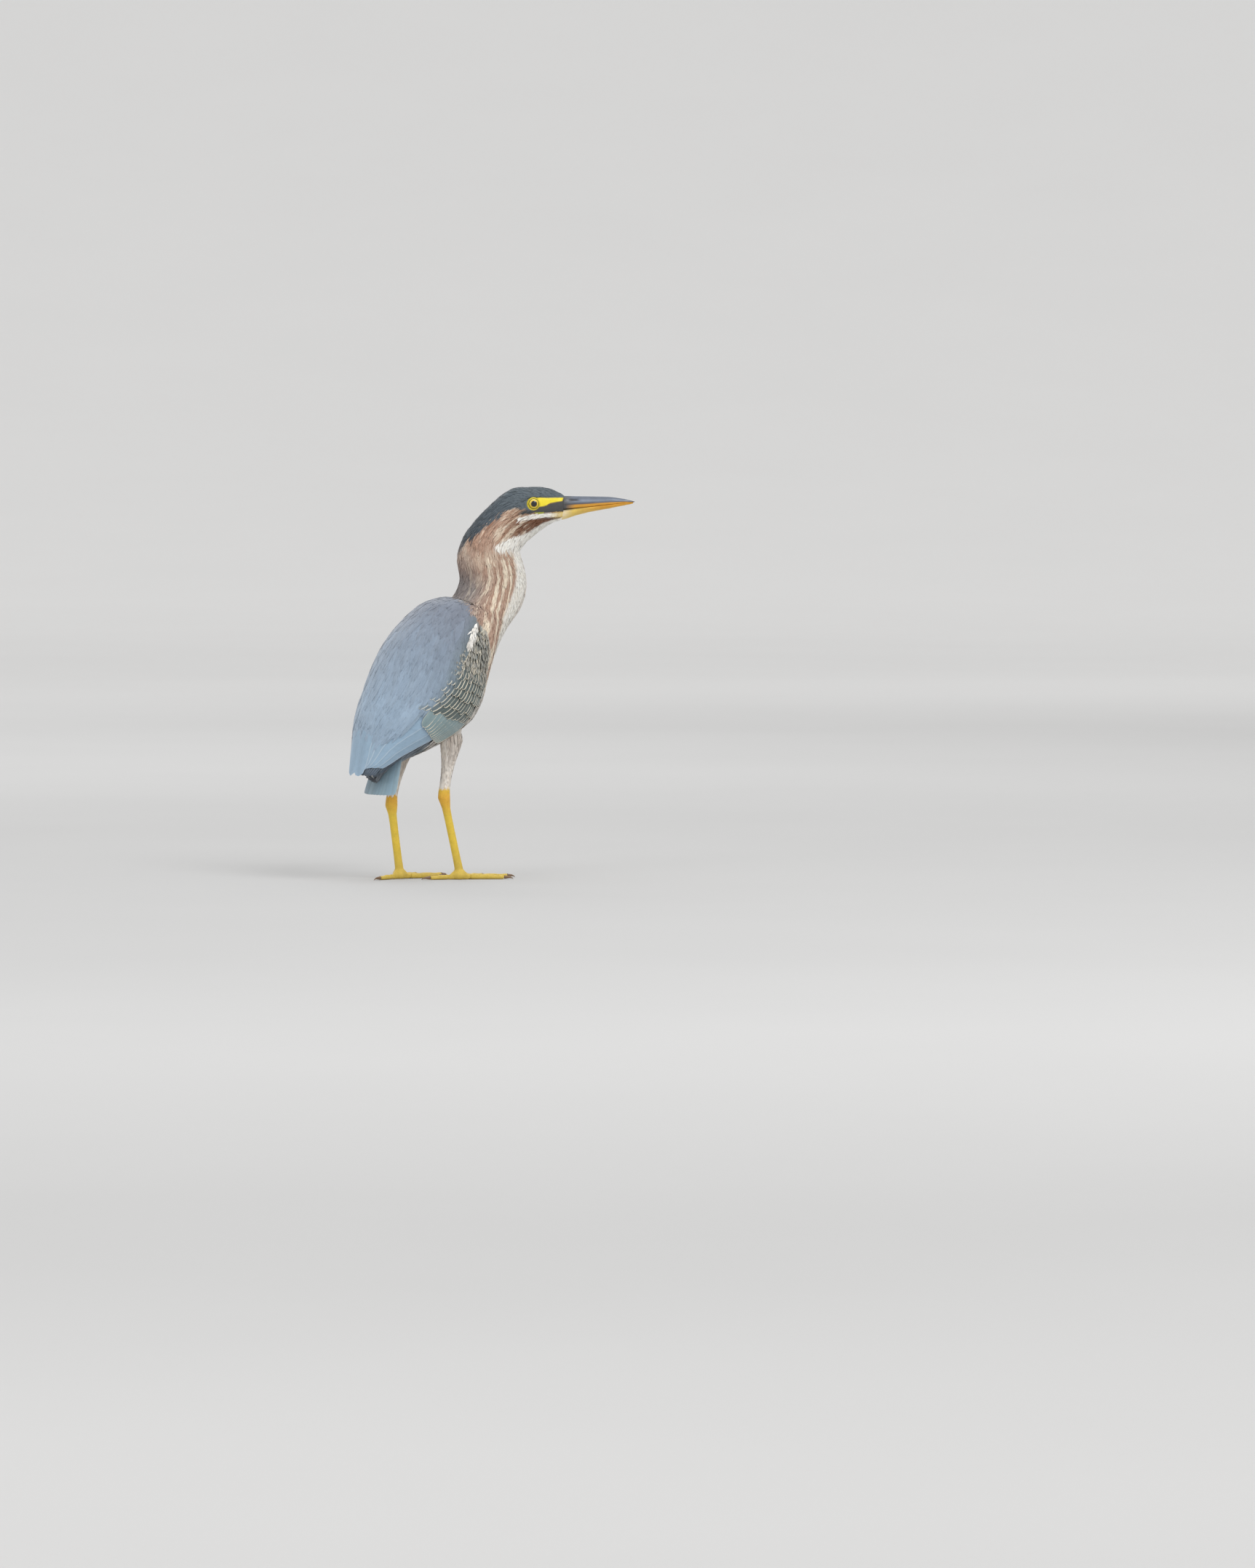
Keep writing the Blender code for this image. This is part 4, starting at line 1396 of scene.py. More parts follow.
joined("coat_neck_cover", [neck_batch(3.0, 1.4, 12, 1.9, -0.25, 0.3, "small")], SOFT)
joined("coat_neck_strands", [neck_batch(2.5, 1.0, 13, 1.0, 0.1, 0.8, "tiny")], SOFT)

# %% [markdown]
# ### Breast, belly and flanks
#
# Below the wings the coat is pale and loose. Its rows start a little above the wing's lower edge,
# so that no gap shows between wing and flank.

# %% Feathers of the underside
def on_underside(t, a):
    turn = degrees_out(a)
    below_wing = turn > np.degrees(wing_angle(t, 1.0)) - 5
    return (turn > 78) & below_wing & (t < read_line(COLLAR, turn) + 4)


t, a = rows(WHOLE, 18, 150, 3.9, 2.9, on_underside)
length = np.minimum(varied(np.interp(t, (18, 60, 150), (10, 18, 14)), 0.15), t - 12)
at_side = np.where((degrees_out(a) > 144) | (t < 70), a, np.sign(a) * math.radians(150))
tint = shaded(body_colour(t - 8, at_side), 0.06)
dark = RANDOM.random(len(t)) * edge(150 - degrees_out(a), 20) * edge(90 - t, 20)
belly = vanes(WHOLE, t, a, length, varied(3.9 + 0 * t, 0.15), "plume", "small",
              tip=RANDOM.uniform(-0.2, 0.2, len(t)), arch=0.05,
              lift=0.4 * RANDOM.random(len(t)) ** 3, thick=0.15, tint=tint,
              core=with_amount(colour(86, 92, 100), 0.7 * dark, len(t)),
              flow=RANDOM.normal(0, 0.06, len(t)))
joined("coat_underside", [belly], SOFT)

# %% [markdown]
# ### Back and mantle
#
# The back is smooth and blue-grey. Its plumes are long and narrow, and the longest start at the
# shoulders and hang over the folded wings.

# %% Plumes of the back
# How far the back's plumes reach down over the wing, by t and degrees from the back line.
BACK_EDGE = ((20, 20), (52, 58), (65, 66), (104, 70), (135, 77), (148, 82), (160, 83), (184, 84))


def past_back(t, a):
    """Degrees from the lower edge of the back's plumes, with places on the wing positive."""
    return degrees_out(a) - read_line(BACK_EDGE, t)


def on_back(t, a):
    turn = degrees_out(a)
    return (past_back(t, a) < 0) & (t < read_line(COLLAR, turn) + 5 + 10 * edge(78 - turn, 36))


def plume_batch(pitch_t, pitch_a, long, width, tip, low, outline, grid, arch):
    t, a = rows(WHOLE, low, 188, pitch_t, pitch_a, on_back)
    turn = degrees_out(a)
    size = varied(np.interp(t, (30, 90, 150, 178), (0.7 * long, long, long, 0.45 * long)), 0.12)
    size = np.minimum(size, t - 6)
    middle = np.clip(t - 0.7 * size, 2, 158)
    tint = shaded(body_colour(middle, a), 0.03, 0.01)
    light = soft_noise(np.degrees(a) / 9, t / 45, 21)[:, None]
    tint = tint * (0.93 + 0.14 * light)
    # Each plume's rim is painted lighter than its middle: painted light that evens out the thin shadows
    # between the plumes.
    return vanes(WHOLE, t, a, size, varied(width + 0 * t, 0.12), outline, grid, root=0.6 - tip,
                 tip=RANDOM.uniform(tip - 0.02, tip + 0.02, len(t)), arch=arch, thick=0.05, tint=tint,
                 rim=with_amount(np.clip(tint * 1.18, 0, 1), 0.6, len(t)),
                 flow=0.1 * np.sign(a) * edge(turn - 10, 30) + RANDOM.normal(0, 0.03, len(t)))


cover = plume_batch(4.6, 3.8, 19, 7.4, -0.3, 38, "scale", "long", 0.02)
scapulars = plume_batch(9, 5.2, 44, 4.6, 0.22, 74, "plume", "medium", 0.03)
joined("coat_back_cover", [cover, scapulars], PLUME)
joined("coat_back_plumes", [plume_batch(3.6, 2.5, 28, 4.2, 0.0, 42, "plume", "long", 0.02)], PLUME)

# %% [markdown]
# ### Wings
#
# The front and lower half of the folded wing shows its coverts in rows, dark grey-green with
# buff edges, small at the bend and larger towards the rear. Each row lies over the next. The
# coverts keep their share of the wing's width, so their rows run with the wing. They are shorter
# along its lower edge, and there are none where the back's plumes hang over it.

# %% Coverts
COVERT_TOP = 68                # degrees from the back line where their rows start


def with_wing(t, a):
    """The direction that keeps a feather at its share of the wing's width."""
    share = wing_share(t, a)
    lean = (wing_angle(t + 2, share) - wing_angle(t - 2, share)) / 4
    turn = np.arctan2(-lean * WINGS.read(WINGS.per_a, t, a), WINGS.read(WINGS.per_t, t, a))
    return np.sign(a) * np.clip(turn, -0.7, 0.7)


def ranks(side, starts, pitch, low_turn):
    """Even rows across the wing, each half a feather off the last."""
    found_t, found_a = [], []
    for number, t in enumerate(starts):
        upper = max(math.radians(low_turn), wing_angle(t, 0.0))
        fine = np.linspace(upper, wing_angle(t, 1.0), 200)
        arc = arc_along(WINGS, t, side * fine)
        count = max(int(arc[-1] / pitch), 1)
        spots = np.arange(count) + 0.5 * (number % 2) + RANDOM.uniform(-0.12, 0.12, count)
        found_a.append(side * np.interp(spots * pitch, arc, fine))
        found_t.append(t + RANDOM.uniform(-0.6, 0.6, count))
    return np.concatenate(found_t), np.concatenate(found_a)


def covert_batch(side, starts, pitch, length, width, fringe, tip):
    t, a = ranks(side, starts, pitch, COVERT_TOP)
    past = past_back(t - 0.8 * length, a)
    t, a, past = t[past > 3], a[past > 3], past[past > 3]
    turn = degrees_out(a)
    tint = shaded(each(COVERT, t), 0.07)
    blue = np.clip(edge(84 - turn, 20) * 0.75 + 0.35 * edge(92 - t, 16), 0, 1)
    tint = mix(tint, shaded(each(BACK_LOW, t), 0.04), blue)
    amount = fringe * RANDOM.uniform(0.6, 1.0, len(t)) * edge(past - 7, 8)
    height = RANDOM.uniform(tip - 0.05, tip + 0.05, len(t)) - 0.9 * edge(5 - past, 8)
    lengths = varied(length * (1 - 0.4 * edge(wing_share(t, a) - 0.72, 0.5)), 0.1)
    return vanes(WINGS, t, a, lengths, varied(width + 0 * t, 0.06), "strap", "medium",
                 flow=with_wing, tip=height, arch=0.05, roll=0.1 * side, thick=0.14, tint=tint,
                 rim=with_amount(BUFF, amount, len(t)),
                 core=with_amount(tint * 0.6, 0.55, len(t)), patch=(0.010, 0.012), outer=side)


def shoulder_batch(side):
    """Small loose feathers over the bend of the wing."""
    t, a = ranks(side, np.arange(126, 168, 2.6), 2.3, 76)
    t, a = t + RANDOM.uniform(-1, 1, len(t)), a + RANDOM.uniform(-0.012, 0.012, len(t))
    clear = past_back(t - 5, a) > 3
    t, a = t[clear], a[clear]
    tint = shaded(mix(SHOULDER, COVERT, RANDOM.random(len(t)) * 0.7), 0.1)
    pale = RANDOM.random(len(t)) ** 2 * edge(past_back(t - 5, a) - 5, 5)
    return vanes(WINGS, t, a, varied(8.5 + 0 * t, 0.15), varied(2.7 + 0 * t, 0.15), "plume", "small",
                 flow=RANDOM.normal(0, 0.1, len(t)), tip=RANDOM.uniform(0.35, 0.65, len(t)), arch=0.06,
                 thick=0.18, tint=tint, rim=with_amount(BUFF, pale, len(t)), patch=(0.006, 0.008))


def wing_coat(side):
    median = covert_batch(side, np.arange(107, 139, 9.5), 3.4, 21, 4.3, 0.95, 0.28)
    greater = covert_batch(side, (104,), 4.0, 30, 5.2, 1.0, 0.22)
    return [median, greater, shoulder_batch(side)]


SIGNS = {"left": -1, "right": 1}
for side, sign in SIGNS.items():
    joined("coat_wing_" + side, wing_coat(sign), STIFF)

# %% [markdown]
# Under the coverts lie the flight feathers: the secondaries along the wing's lower edge, and the
# broad tertials that roof the folded wing and make its rounded end. The dark primaries lie deepest
# and only their tips peep out below. Each feather has a strip of the bake's map to itself, so that
# no neighbour is baked over its pale edge.

# %% Flight feathers
PRIMARY = colour(84, 96, 110)
SECONDARY = colour(138, 158, 161)
TERTIAL = colour(156, 181, 202)
PALE_BLUE = colour(200, 214, 226)
PRIMARIES, TERTIALS, SECONDARIES = range(8), range(8, 14), range(14, 25)
FLIGHT_COUNT = len(PRIMARIES) + len(TERTIALS) + len(SECONDARIES)


def flight_batch(side, numbers, t_ends, shares, tips, widths, tint, pale, fringe, heights,
                 leans=(0, 0), outline="strap"):
    """Flight feathers side by side: each pair is a number for the first and one for the last."""
    count = len(numbers)
    k = np.linspace(0, 1, count)
    ends = (0, 1)
    t = np.interp(k, ends, t_ends)
    a = side * wing_angle(t, np.interp(k, ends, shares))
    way = np.linspace(t, np.interp(k, ends, tips), 12)
    length = (way[0] - way[-1]) * WINGS.read(WINGS.per_t, way, np.broadcast_to(a, way.shape)).mean(0)
    height = np.interp(k, ends, heights)
    lean = side * np.interp(k, ends, leans)
    tint = shaded(each(tint, k), 0.04)
    print("flight feathers", np.round(length).astype(int), "mm")
    return vanes(WINGS, t, a, length, np.interp(k, ends, widths), outline, "large",
                 flow=lambda t, a: with_wing(t, a) + lean, root=1.5 - height, tip=height, arch=0.03,
                 roll=0.05 * side, thick=0.35, tint=tint, rim=with_amount(pale, fringe, count),
                 core=with_amount(tint * 0.8, 0.3, count), outer=side,
                 patch=(0.9 / FLIGHT_COUNT, 0.9), strips=(numbers[0], FLIGHT_COUNT))


for side, sign in SIGNS.items():
    primaries = flight_batch(sign, PRIMARIES, (76, 70), (0.3, 0.9), (2.5, 5), (9, 7),
                             PRIMARY, PALE_BLUE, 0.2, (-1.3, -1.9))
    tertials = flight_batch(sign, TERTIALS, (98, 92), (0.03, 0.84), (2, 11), (18, 15),
                            TERTIAL, PALE_BLUE, 0.5, (0.0, -0.9), outline="round")
    secondaries = flight_batch(sign, SECONDARIES, (98, 106), (0.42, 1.0), (62, 65), (9, 7),
                               SECONDARY, BUFF, 1.0, (0.25, -0.2), (0.4, 0.05))
    joined("flight_" + side, [primaries, tertials, secondaries], STIFF)

# %% [markdown]
# ### Tuft at the bend of the wing
#
# A line of whitish feathers shows where the wing's bend comes out from under the mantle. They
# stand a little proud.

# %% The pale tuft
TUFT_WHITE = colour(248, 245, 240)
TUFT_FEATHERS = 70
for_tuft = []
for sign in SIGNS.values():
    k = RANDOM.random(TUFT_FEATHERS)
    t = 146 + 19 * k
    a = sign * np.radians(np.interp(k, (0, 1), (83, 82)) + RANDOM.uniform(-1.2, 1.2, len(k)))
    tint = shaded(each(TUFT_WHITE, k), 0.04)
    tint = mix(tint, shaded(each(SHOULDER, k)), RANDOM.random(len(k)) ** 4 * 0.7)
    for_tuft.append(vanes(WHOLE, t, a, RANDOM.uniform(7, 12, len(k)), RANDOM.uniform(0.9, 1.7, len(k)),
                          "plume", "small", root=0.6, tip=RANDOM.uniform(0.5, 1.3, len(k)),
                          flow=RANDOM.normal(0.12 * sign, 0.2, len(k)), thick=0.15, tint=tint))
joined("tuft_wing_bend", for_tuft, SOFT)

# %% [markdown]
# ### Tail
#
# The short square tail hangs behind the wing tips. Its twelve feathers lie on a ground of their
# own, a sheet that is arched like a roof and widens towards the tips.

# %% Tail feathers
TAIL_TOP_LINE = (-47.5, 105.0, 19.0)       # forward, up and half width at the root
TAIL_TIP_LINE = (-58.0, 68.4, 25.0)
TAIL_ROOF = 6.0
TAIL_LENGTH = math.hypot(TAIL_TOP_LINE[0] - TAIL_TIP_LINE[0], TAIL_TOP_LINE[1] - TAIL_TIP_LINE[1])


def tail_ground():
    down = np.linspace(1.0, -0.25, 40)[:, None]
    x = np.linspace(-1, 1, 31)[None, :]
    forward, up, half = (top + (low - top) * down for top, low in zip(TAIL_TOP_LINE, TAIL_TIP_LINE))
    roof = TAIL_ROOF * (1 - x ** 2) * (0.4 + 0.6 * down)
    points = world(forward - roof + 0.0 * x, half * x, up + 0.0 * x)
    back = world(-1.0, 0.0, 0.2) - world(0.0, 0.0, 0.0)
    return Ground(points, np.broadcast_to(back, points.shape), TAIL_LENGTH * 1.25, -1.0, 1.0, False)


TAIL = tail_ground()
TAIL_COUNT = 12
TAIL_BLUE = colour(150, 176, 190)
TAIL_PAINTED_SHADOW = colour(84, 100, 112)
place = (np.arange(TAIL_COUNT) - (TAIL_COUNT - 1) / 2) / (TAIL_COUNT / 2)
outwards = np.abs(place)
# The feathers on the tail's left side are painted darker: a painted shadow of the wing.
tint = shaded(mix(TAIL_BLUE, TAIL_PAINTED_SHADOW, 0.4 * (place < -0.3)), 0.04)
length = TAIL_LENGTH * 1.17 - 1.5 * outwards ** 2
rectrices = vanes(TAIL, np.full(TAIL_COUNT, TAIL_LENGTH * 1.2), 0.86 * place, length, 9.5, "blunt",
                  "large", root=-0.9 + 2.0 * outwards, tip=0.7 - 1.5 * outwards, arch=0.06,
                  thick=0.4, tint=tint, rim=with_amount(BUFF, 0.12, TAIL_COUNT),
                  core=with_amount(tint * 0.75, 0.3, TAIL_COUNT), patch=(0.06, 0.7))
joined("tail_feathers", [rectrices], STIFF)

# %% [markdown]
# ### Thighs
#
# The thighs wear soft short feathers of a greyish pink down to the heel. Each thigh gets a
# ground of its own: a tube read from the frame's solid by rays from its middle line. The upper
# ones root deep under the flank's feathers.

# %% Feathers of the thighs
THIGH_ROWS, THIGH_SIDES = 40, 48
THIGH_GREY = colour(170, 157, 147)


def thigh_ground(side):
    name = "thigh_" + side
    places = corners(name)
    low, high = places[:, 2].min(), places[:, 2].max()
    heights = np.linspace(low + 0.5 * MM, high - 5 * MM, THIGH_ROWS)
    middles = []
    for z in heights:
        near = places[np.abs(places[:, 2] - z) < 5 * MM, :2]
        middles.append([*(near.min(axis=0) + near.max(axis=0)) / 2, z])
    middles = np.array(middles)
    for k in (0, 1):
        line = np.polyfit(heights, middles[:, k], 2)
        middles[:, k] = np.polyval(line, heights)
    tree = tree_of([name])
    around = np.linspace(-math.pi, math.pi, THIGH_SIDES, endpoint=False)
    radius = np.full((THIGH_ROWS, THIGH_SIDES), np.nan)
    out = np.zeros((THIGH_ROWS, THIGH_SIDES, 3))
    for i, middle in enumerate(middles):
        for j, angle in enumerate(around):
            ray = Vector((-math.sin(angle), math.cos(angle), 0))
            out[i, j] = ray
            hit = tree.ray_cast(Vector(middle), ray, 0.03)
            if hit[0] is not None:
                radius[i, j] = hit[3]
    radius = smoothed(filled(np.minimum(radius, np.nanmedian(radius, axis=1)[:, None] * 1.5)), 4)
    return Ground(middles[:, None, :] + out * radius[..., None], out, (heights[-1] - heights[0]) / MM)


for side in SIDES:
    ground = thigh_ground(side)
    t, a = rows(ground, 4.5, ground.length, 2.1, 1.25, lambda t, a: t > 0, closest=1.3)
    tint = shaded(each(THIGH, t), 0.08)
    clouds = soft_noise(np.degrees(a) / 16, t / 16, 31)
    tint = mix(tint, shaded(each(THIGH_GREY, t)), 0.7 * edge(clouds - 0.62, 0.2))
    thigh = vanes(ground, t, a, varied(np.interp(t, (4, 14, 40), (4.2, 7, 11)), 0.15),
                  varied(np.interp(t, (4, 40), (1.2, 2.0)), 0.2), "plume", "small",
                  root=np.interp(t, (4, 18, ground.length - 9, ground.length), (0.3, 1.2, 1.2, 4.2)),
                  tip=RANDOM.uniform(-0.1, 0.12, len(t)),
                  lift=0.3 * RANDOM.random(len(t)) ** 4, thick=0.1, tint=tint,
                  flow=RANDOM.normal(0, 0.1, len(t)))
    joined("coat_thigh_" + side, [thigh], SOFT)

# %% [markdown]
# ## Bill
#
# The bill is a long dagger, slate above and yellow-orange below. Each half is a ring of corners
# that is extruded along the head and set to a section at each step: round on its outer side,
# nearly flat where the halves meet. The nostril lies in a groove near the base.

# %% Both halves of the bill
# Ahead, top, bottom, half width.
UPPER_BILL = ((109.2, 315.1, 303.8, 5.9), (111.6, 315.2, 304.0, 5.9), (121.7, 314.9, 305.1, 5.0),
              (133.2, 314.7, 306.2, 4.2), (150.4, 314.2, 308.0, 2.9), (161.9, 312.6, 309.3, 1.7),
              (167.6, 311.2, 309.7, 0.9), (170.3, 310.5, 309.9, 0.35))
LOWER_BILL = ((109.2, 303.8, 295.6, 5.6), (111.6, 304.0, 295.7, 5.6), (121.7, 305.1, 298.9, 4.6),
              (133.2, 306.2, 301.8, 3.8), (150.4, 308.0, 304.8, 2.6), (161.9, 309.3, 307.1, 1.5),
              (166.8, 309.65, 308.1, 0.85), (169.3, 309.85, 308.9, 0.35))
BILL_RINGS, BILL_SIDES = 72, 40
ROUNDNESS, SQUARENESS = 1.9, 5.0       # of the outer side and of the side where the halves meet
NOSTRIL = (119.5, 311.6, 4.2)          # ahead, up, half length
GROOVE = (113.0, 146.0, 311.4, 0.9)    # from, to, up, half height


def nostril(ahead, up, half):
    """1 in the nostril's slit and 0 off it."""
    return np.exp(-((up - NOSTRIL[1]) / half) ** 2 - ((ahead - NOSTRIL[0]) / NOSTRIL[2]) ** 4)


def bill_half(name, sections, upwards):
    sections = np.array(sections)
    ahead = np.linspace(sections[0, 0], sections[-1, 0], BILL_RINGS)
    smooth = smooth_through(sections, np.interp(ahead, sections[:, 0], np.arange(len(sections))))
    top, low, half = smooth[:, 1], smooth[:, 2], np.maximum(smooth[:, 3], 0.3)
    angle = np.linspace(0, 2 * math.pi, BILL_SIDES, endpoint=False)
    cos, sin = np.cos(angle), np.sin(angle)
    outside = (sin > 0) == upwards
    power = np.where(outside, ROUNDNESS, SQUARENESS)
    across = np.sign(cos) * np.abs(cos) ** (2 / power)
    rise = np.sign(sin) * np.abs(sin) ** (2 / power)
    flat = 0.24 if upwards else 0.76
    middle = low + (top - low) * flat
    reach = np.where(rise[None, :] > 0, (top - middle)[:, None], (middle - low)[:, None])
    up = middle[:, None] + rise * reach
    right = across * half[:, None]
    if upwards:
        along = edge(ahead - GROOVE[0], 4) * edge(GROOVE[1] - ahead, 22)
        groove = np.exp(-((up - GROOVE[2]) / GROOVE[3]) ** 2) * along[:, None]
        slit = nostril(ahead[:, None], up, 0.55)
        right = right - np.sign(right) * (0.38 * groove + 0.75 * slit)
    bm = bmesh.new()
    ring_tube(bm, head_point(ahead[:, None] + 0 * up, right, up))
    return add_object(name, mesh_from(bm, name), "bill_horn", name.replace("_horn", ""))


SLATE = colour(82, 92, 108)
SLATE_PAINTED_HIGHLIGHT = colour(140, 150, 168)
HORN_ORANGE = colour(214, 152, 40)
DARK_HORN_AND_SLIT_SHADE = colour(48, 44, 44)
upper_bill = bill_half("bill_upper_horn", UPPER_BILL, True)
lower_bill = bill_half("bill_lower_horn", LOWER_BILL, False)
for bill, upper in ((upper_bill, True), (lower_bill, False)):
    plane = head_plane(mesh_places(bill.data))
    ahead, _, up = plane.T
    sections = np.array(UPPER_BILL if upper else LOWER_BILL)
    top, low = (np.interp(ahead, sections[:, 0], sections[:, k]) for k in (1, 2))
    share = (up - low) / np.maximum(top - low, 0.3)
    face_tint, face_amount = bare_colour(ahead, up)
    if upper:
        # A lighter stripe along the side of the upper half is a painted highlight on the slate.
        tint = mix(SLATE, SLATE_PAINTED_HIGHLIGHT,
                   0.7 * np.exp(-((share - 0.62) / 0.13) ** 2) * edge(ahead - 122, 12))
        tint = mix(tint, LORE_DARK, 0.85 * edge(117 - ahead, 8))
        tint = mix(tint, HORN_ORANGE, edge(0.30 - share, 0.12) * edge(ahead - 117, 8))
        tint = mix(tint, DARK_HORN_AND_SLIT_SHADE, 0.8 * np.exp(-((share - 0.38) / 0.05) ** 2) * edge(140 - ahead, 20))
        tint = mix(tint, DARK_HORN_AND_SLIT_SHADE, edge(ahead - 167, 5))
        # The nostril's slit is painted dark: painted shade inside its opening. The other dark lines and the
        # tip are the horn's own colour.
        tint = mix(tint, DARK_HORN_AND_SLIT_SHADE, 0.9 * nostril(ahead, up, 0.5))
        tint = mix(tint, face_tint, face_amount * edge(111.8 - ahead, 3))
        tint = mix(tint, CAP, edge(up - 314.2, 1) * edge(111.8 - ahead, 3))
    else:
        tint = mix(HORN_ORANGE, HORN_YELLOW, edge(132 - ahead, 24))
        tint = mix(tint, WHITE, 0.5 * edge(115 - ahead, 8))
        tint = mix(tint, DARK_HORN_AND_SLIT_SHADE, 0.75 * edge(share - 0.86, 0.1) * edge(126 - ahead, 16))
        tint = mix(tint, HORN_YELLOW, 0.5 * edge(0.3 - share, 0.2))
    set_colour(bill.data, "tint", tint)
    set_vector(bill.data, "plane", plane * MM)
    print(bill.name, len(bill.data.polygons), "faces")

# %% [markdown]
# ## Eyes
#
# A heron's eye is a ball with a clear bulge over a yellow iris and a round black pupil. It sits
# in the socket so that only its outer cap shows, framed by a ring of bare yellow skin. The ball
# keeps its angle from the gaze at every corner, and the material draws the iris from that.

# %% Eyeballs
IRIS_EDGE, PUPIL_EDGE = 46.0, 22.4         # degrees from the gaze
CORNEA_RISE = 0.45
GAZE_FORWARD = 5.0                         # degrees that the eyes look forward of straight out


def gaze_matrix(side):
    """Turns +Z to the gaze and +Y to up, and moves to the eyeball's middle."""
    ahead = math.radians(GAZE_FORWARD)
    centre = head_point(EYE_AHEAD, side * EYE_OUT, EYE_UP)
    aim = head_point(EYE_AHEAD + math.sin(ahead), side * (EYE_OUT + math.cos(ahead)), EYE_UP)
    z = Vector(aim - centre).normalized()
    x = Vector((0, 0, 1)).cross(z).normalized()
    y = z.cross(x)
    turn = Matrix((x, y, z)).transposed().to_4x4()
    return Matrix.Translation(Vector(centre)) @ turn


def eyeball(side_name, side):
    bm = bmesh.new()
    bmesh.ops.create_uvsphere(bm, u_segments=56, v_segments=44, radius=EYE_RADIUS * MM)
    for vertex in bm.verts:
        angle = math.degrees(vertex.co.angle(Vector((0, 0, 1))))
        rise = CORNEA_RISE * max(1 - (angle / IRIS_EDGE) ** 2, 0) * MM
        vertex.co += vertex.co.normalized() * rise
    bmesh.ops.recalc_face_normals(bm, faces=bm.faces)
    mesh = mesh_from(bm, "eyeball_" + side_name)
    places = mesh_places(mesh)
    angle = np.degrees(np.arccos(np.clip(places[:, 2] / np.linalg.norm(places, axis=1), -1, 1)))
    round_it = np.arctan2(places[:, 1], places[:, 0])
    set_vector(mesh, "gaze", np.stack([angle, np.cos(round_it), np.sin(round_it)], -1))
    mesh.transform(gaze_matrix(side))
    return add_object("eyeball_" + side_name, mesh, "eye", "eye_" + side_name)


eyeballs = [eyeball(name, sign) for name, sign in SIGNS.items()]
print("eyes", [tuple(round(c, 4) for c in head_point(EYE_AHEAD, sign * EYE_OUT, EYE_UP)) for sign in (-1, 1)])

# %% [markdown]
# The lids are one ring of skin round the eye. Its profile is a thick fold with fine creases, and
# a full spin about the gaze closes it. A slight squeeze from above and below gives the lids
# their corners.

# %% Shape of the lids
# Degrees from the gaze and distance from the eyeball's middle, in millimetres.
LID_PROFILE = ((43.7, 6.24), (45, 6.44), (47, 6.57), (48.5, 6.50), (50, 6.57), (52, 6.47),
               (54, 6.48), (56.5, 6.34), (59.5, 6.2), (65, 5.95), (74, 5.65), (82, 5.4), (68, 5.2),
               (47, 5.5))


def lid(side_name, side):
    line = []
    for degrees, reach in LID_PROFILE:
        angle = math.radians(degrees)
        line.append((reach * math.sin(angle) * MM, reach * math.cos(angle) * MM))
    bm = spun(line, closed=True, steps=72, weld=0.00001)
    for vertex in bm.verts:
        round_it = math.atan2(vertex.co.y, vertex.co.x)
        vertex.co.z -= 0.12 * MM * (1 - math.cos(2 * round_it))
        vertex.co.x += 0.5 * MM * max(abs(math.cos(round_it)) - 0.8, 0) * math.copysign(1, vertex.co.x)
    bmesh.ops.recalc_face_normals(bm, faces=bm.faces)
    mesh = mesh_from(bm, "lid_" + side_name)
    mesh.transform(gaze_matrix(side))
    return add_object("lid_" + side_name, mesh, "leg_skin")


lids = [lid(name, sign) for name, sign in SIGNS.items()]

# %% [markdown]
# ## Claws
#
# A claw is a curved spike of horn. Each is a tube of rings that is bent down along an arc from
# the end of its toe to the floor, measured between the frame's own claw and toe.

# %% Claws
CLAW_RINGS, CLAW_SIDES = 14, 14


def claw(node):
    foot = corners("foot_" + node.rsplit("_", 1)[1]).mean(0)
    base, tip = axis_of(node, foot)
    low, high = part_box(node)
    axis = tip - base
    axis[2] = 0
    axis /= np.linalg.norm(axis)
    places = corners(node)
    along = (places - base) @ axis
    start, end = base + axis * along.min(), base + axis * along.max()
    side = np.cross(axis, (0, 0, 1.0))
    rings = []
    radius, rise = (high.z - low.z) / 2 * 0.94, high.z - low.z
    for k in np.linspace(0, 1, CLAW_RINGS):
        thick = radius * (1 - k) ** 0.62 * (1 - 0.1 * k) + 0.06 * MM
        up = thick + (rise - 2 * radius) * (1 - k) + 0.55 * rise * math.sin(math.pi * k) * k * 0.6
        middle = start + (end - start) * k
        around = np.linspace(0, 2 * math.pi, CLAW_SIDES, endpoint=False)[:, None]
        ring = middle * np.array([1, 1, 0]) + np.array([0, 0, up])
        rings.append(ring + np.cos(around) * side * thick * 0.8 + np.sin(around) * np.array([0, 0, thick]))
    bm = bmesh.new()
    ring_tube(bm, rings)
    return add_object(node + "_horn", mesh_from(bm, node + "_horn"), "claw_horn", node)


claws = [claw(f"claw_{name}_{side}") for side in SIDES for name in TOE_NAMES]
print("claws", len(claws))

# %% [markdown]
# ## Skin, horn and eye finishes
#
# The skin is matt and finely mottled under the coat, and glossy where it is bare. The legs'
# scales are a Voronoi net; the lore has no scales, only a fine mottle.

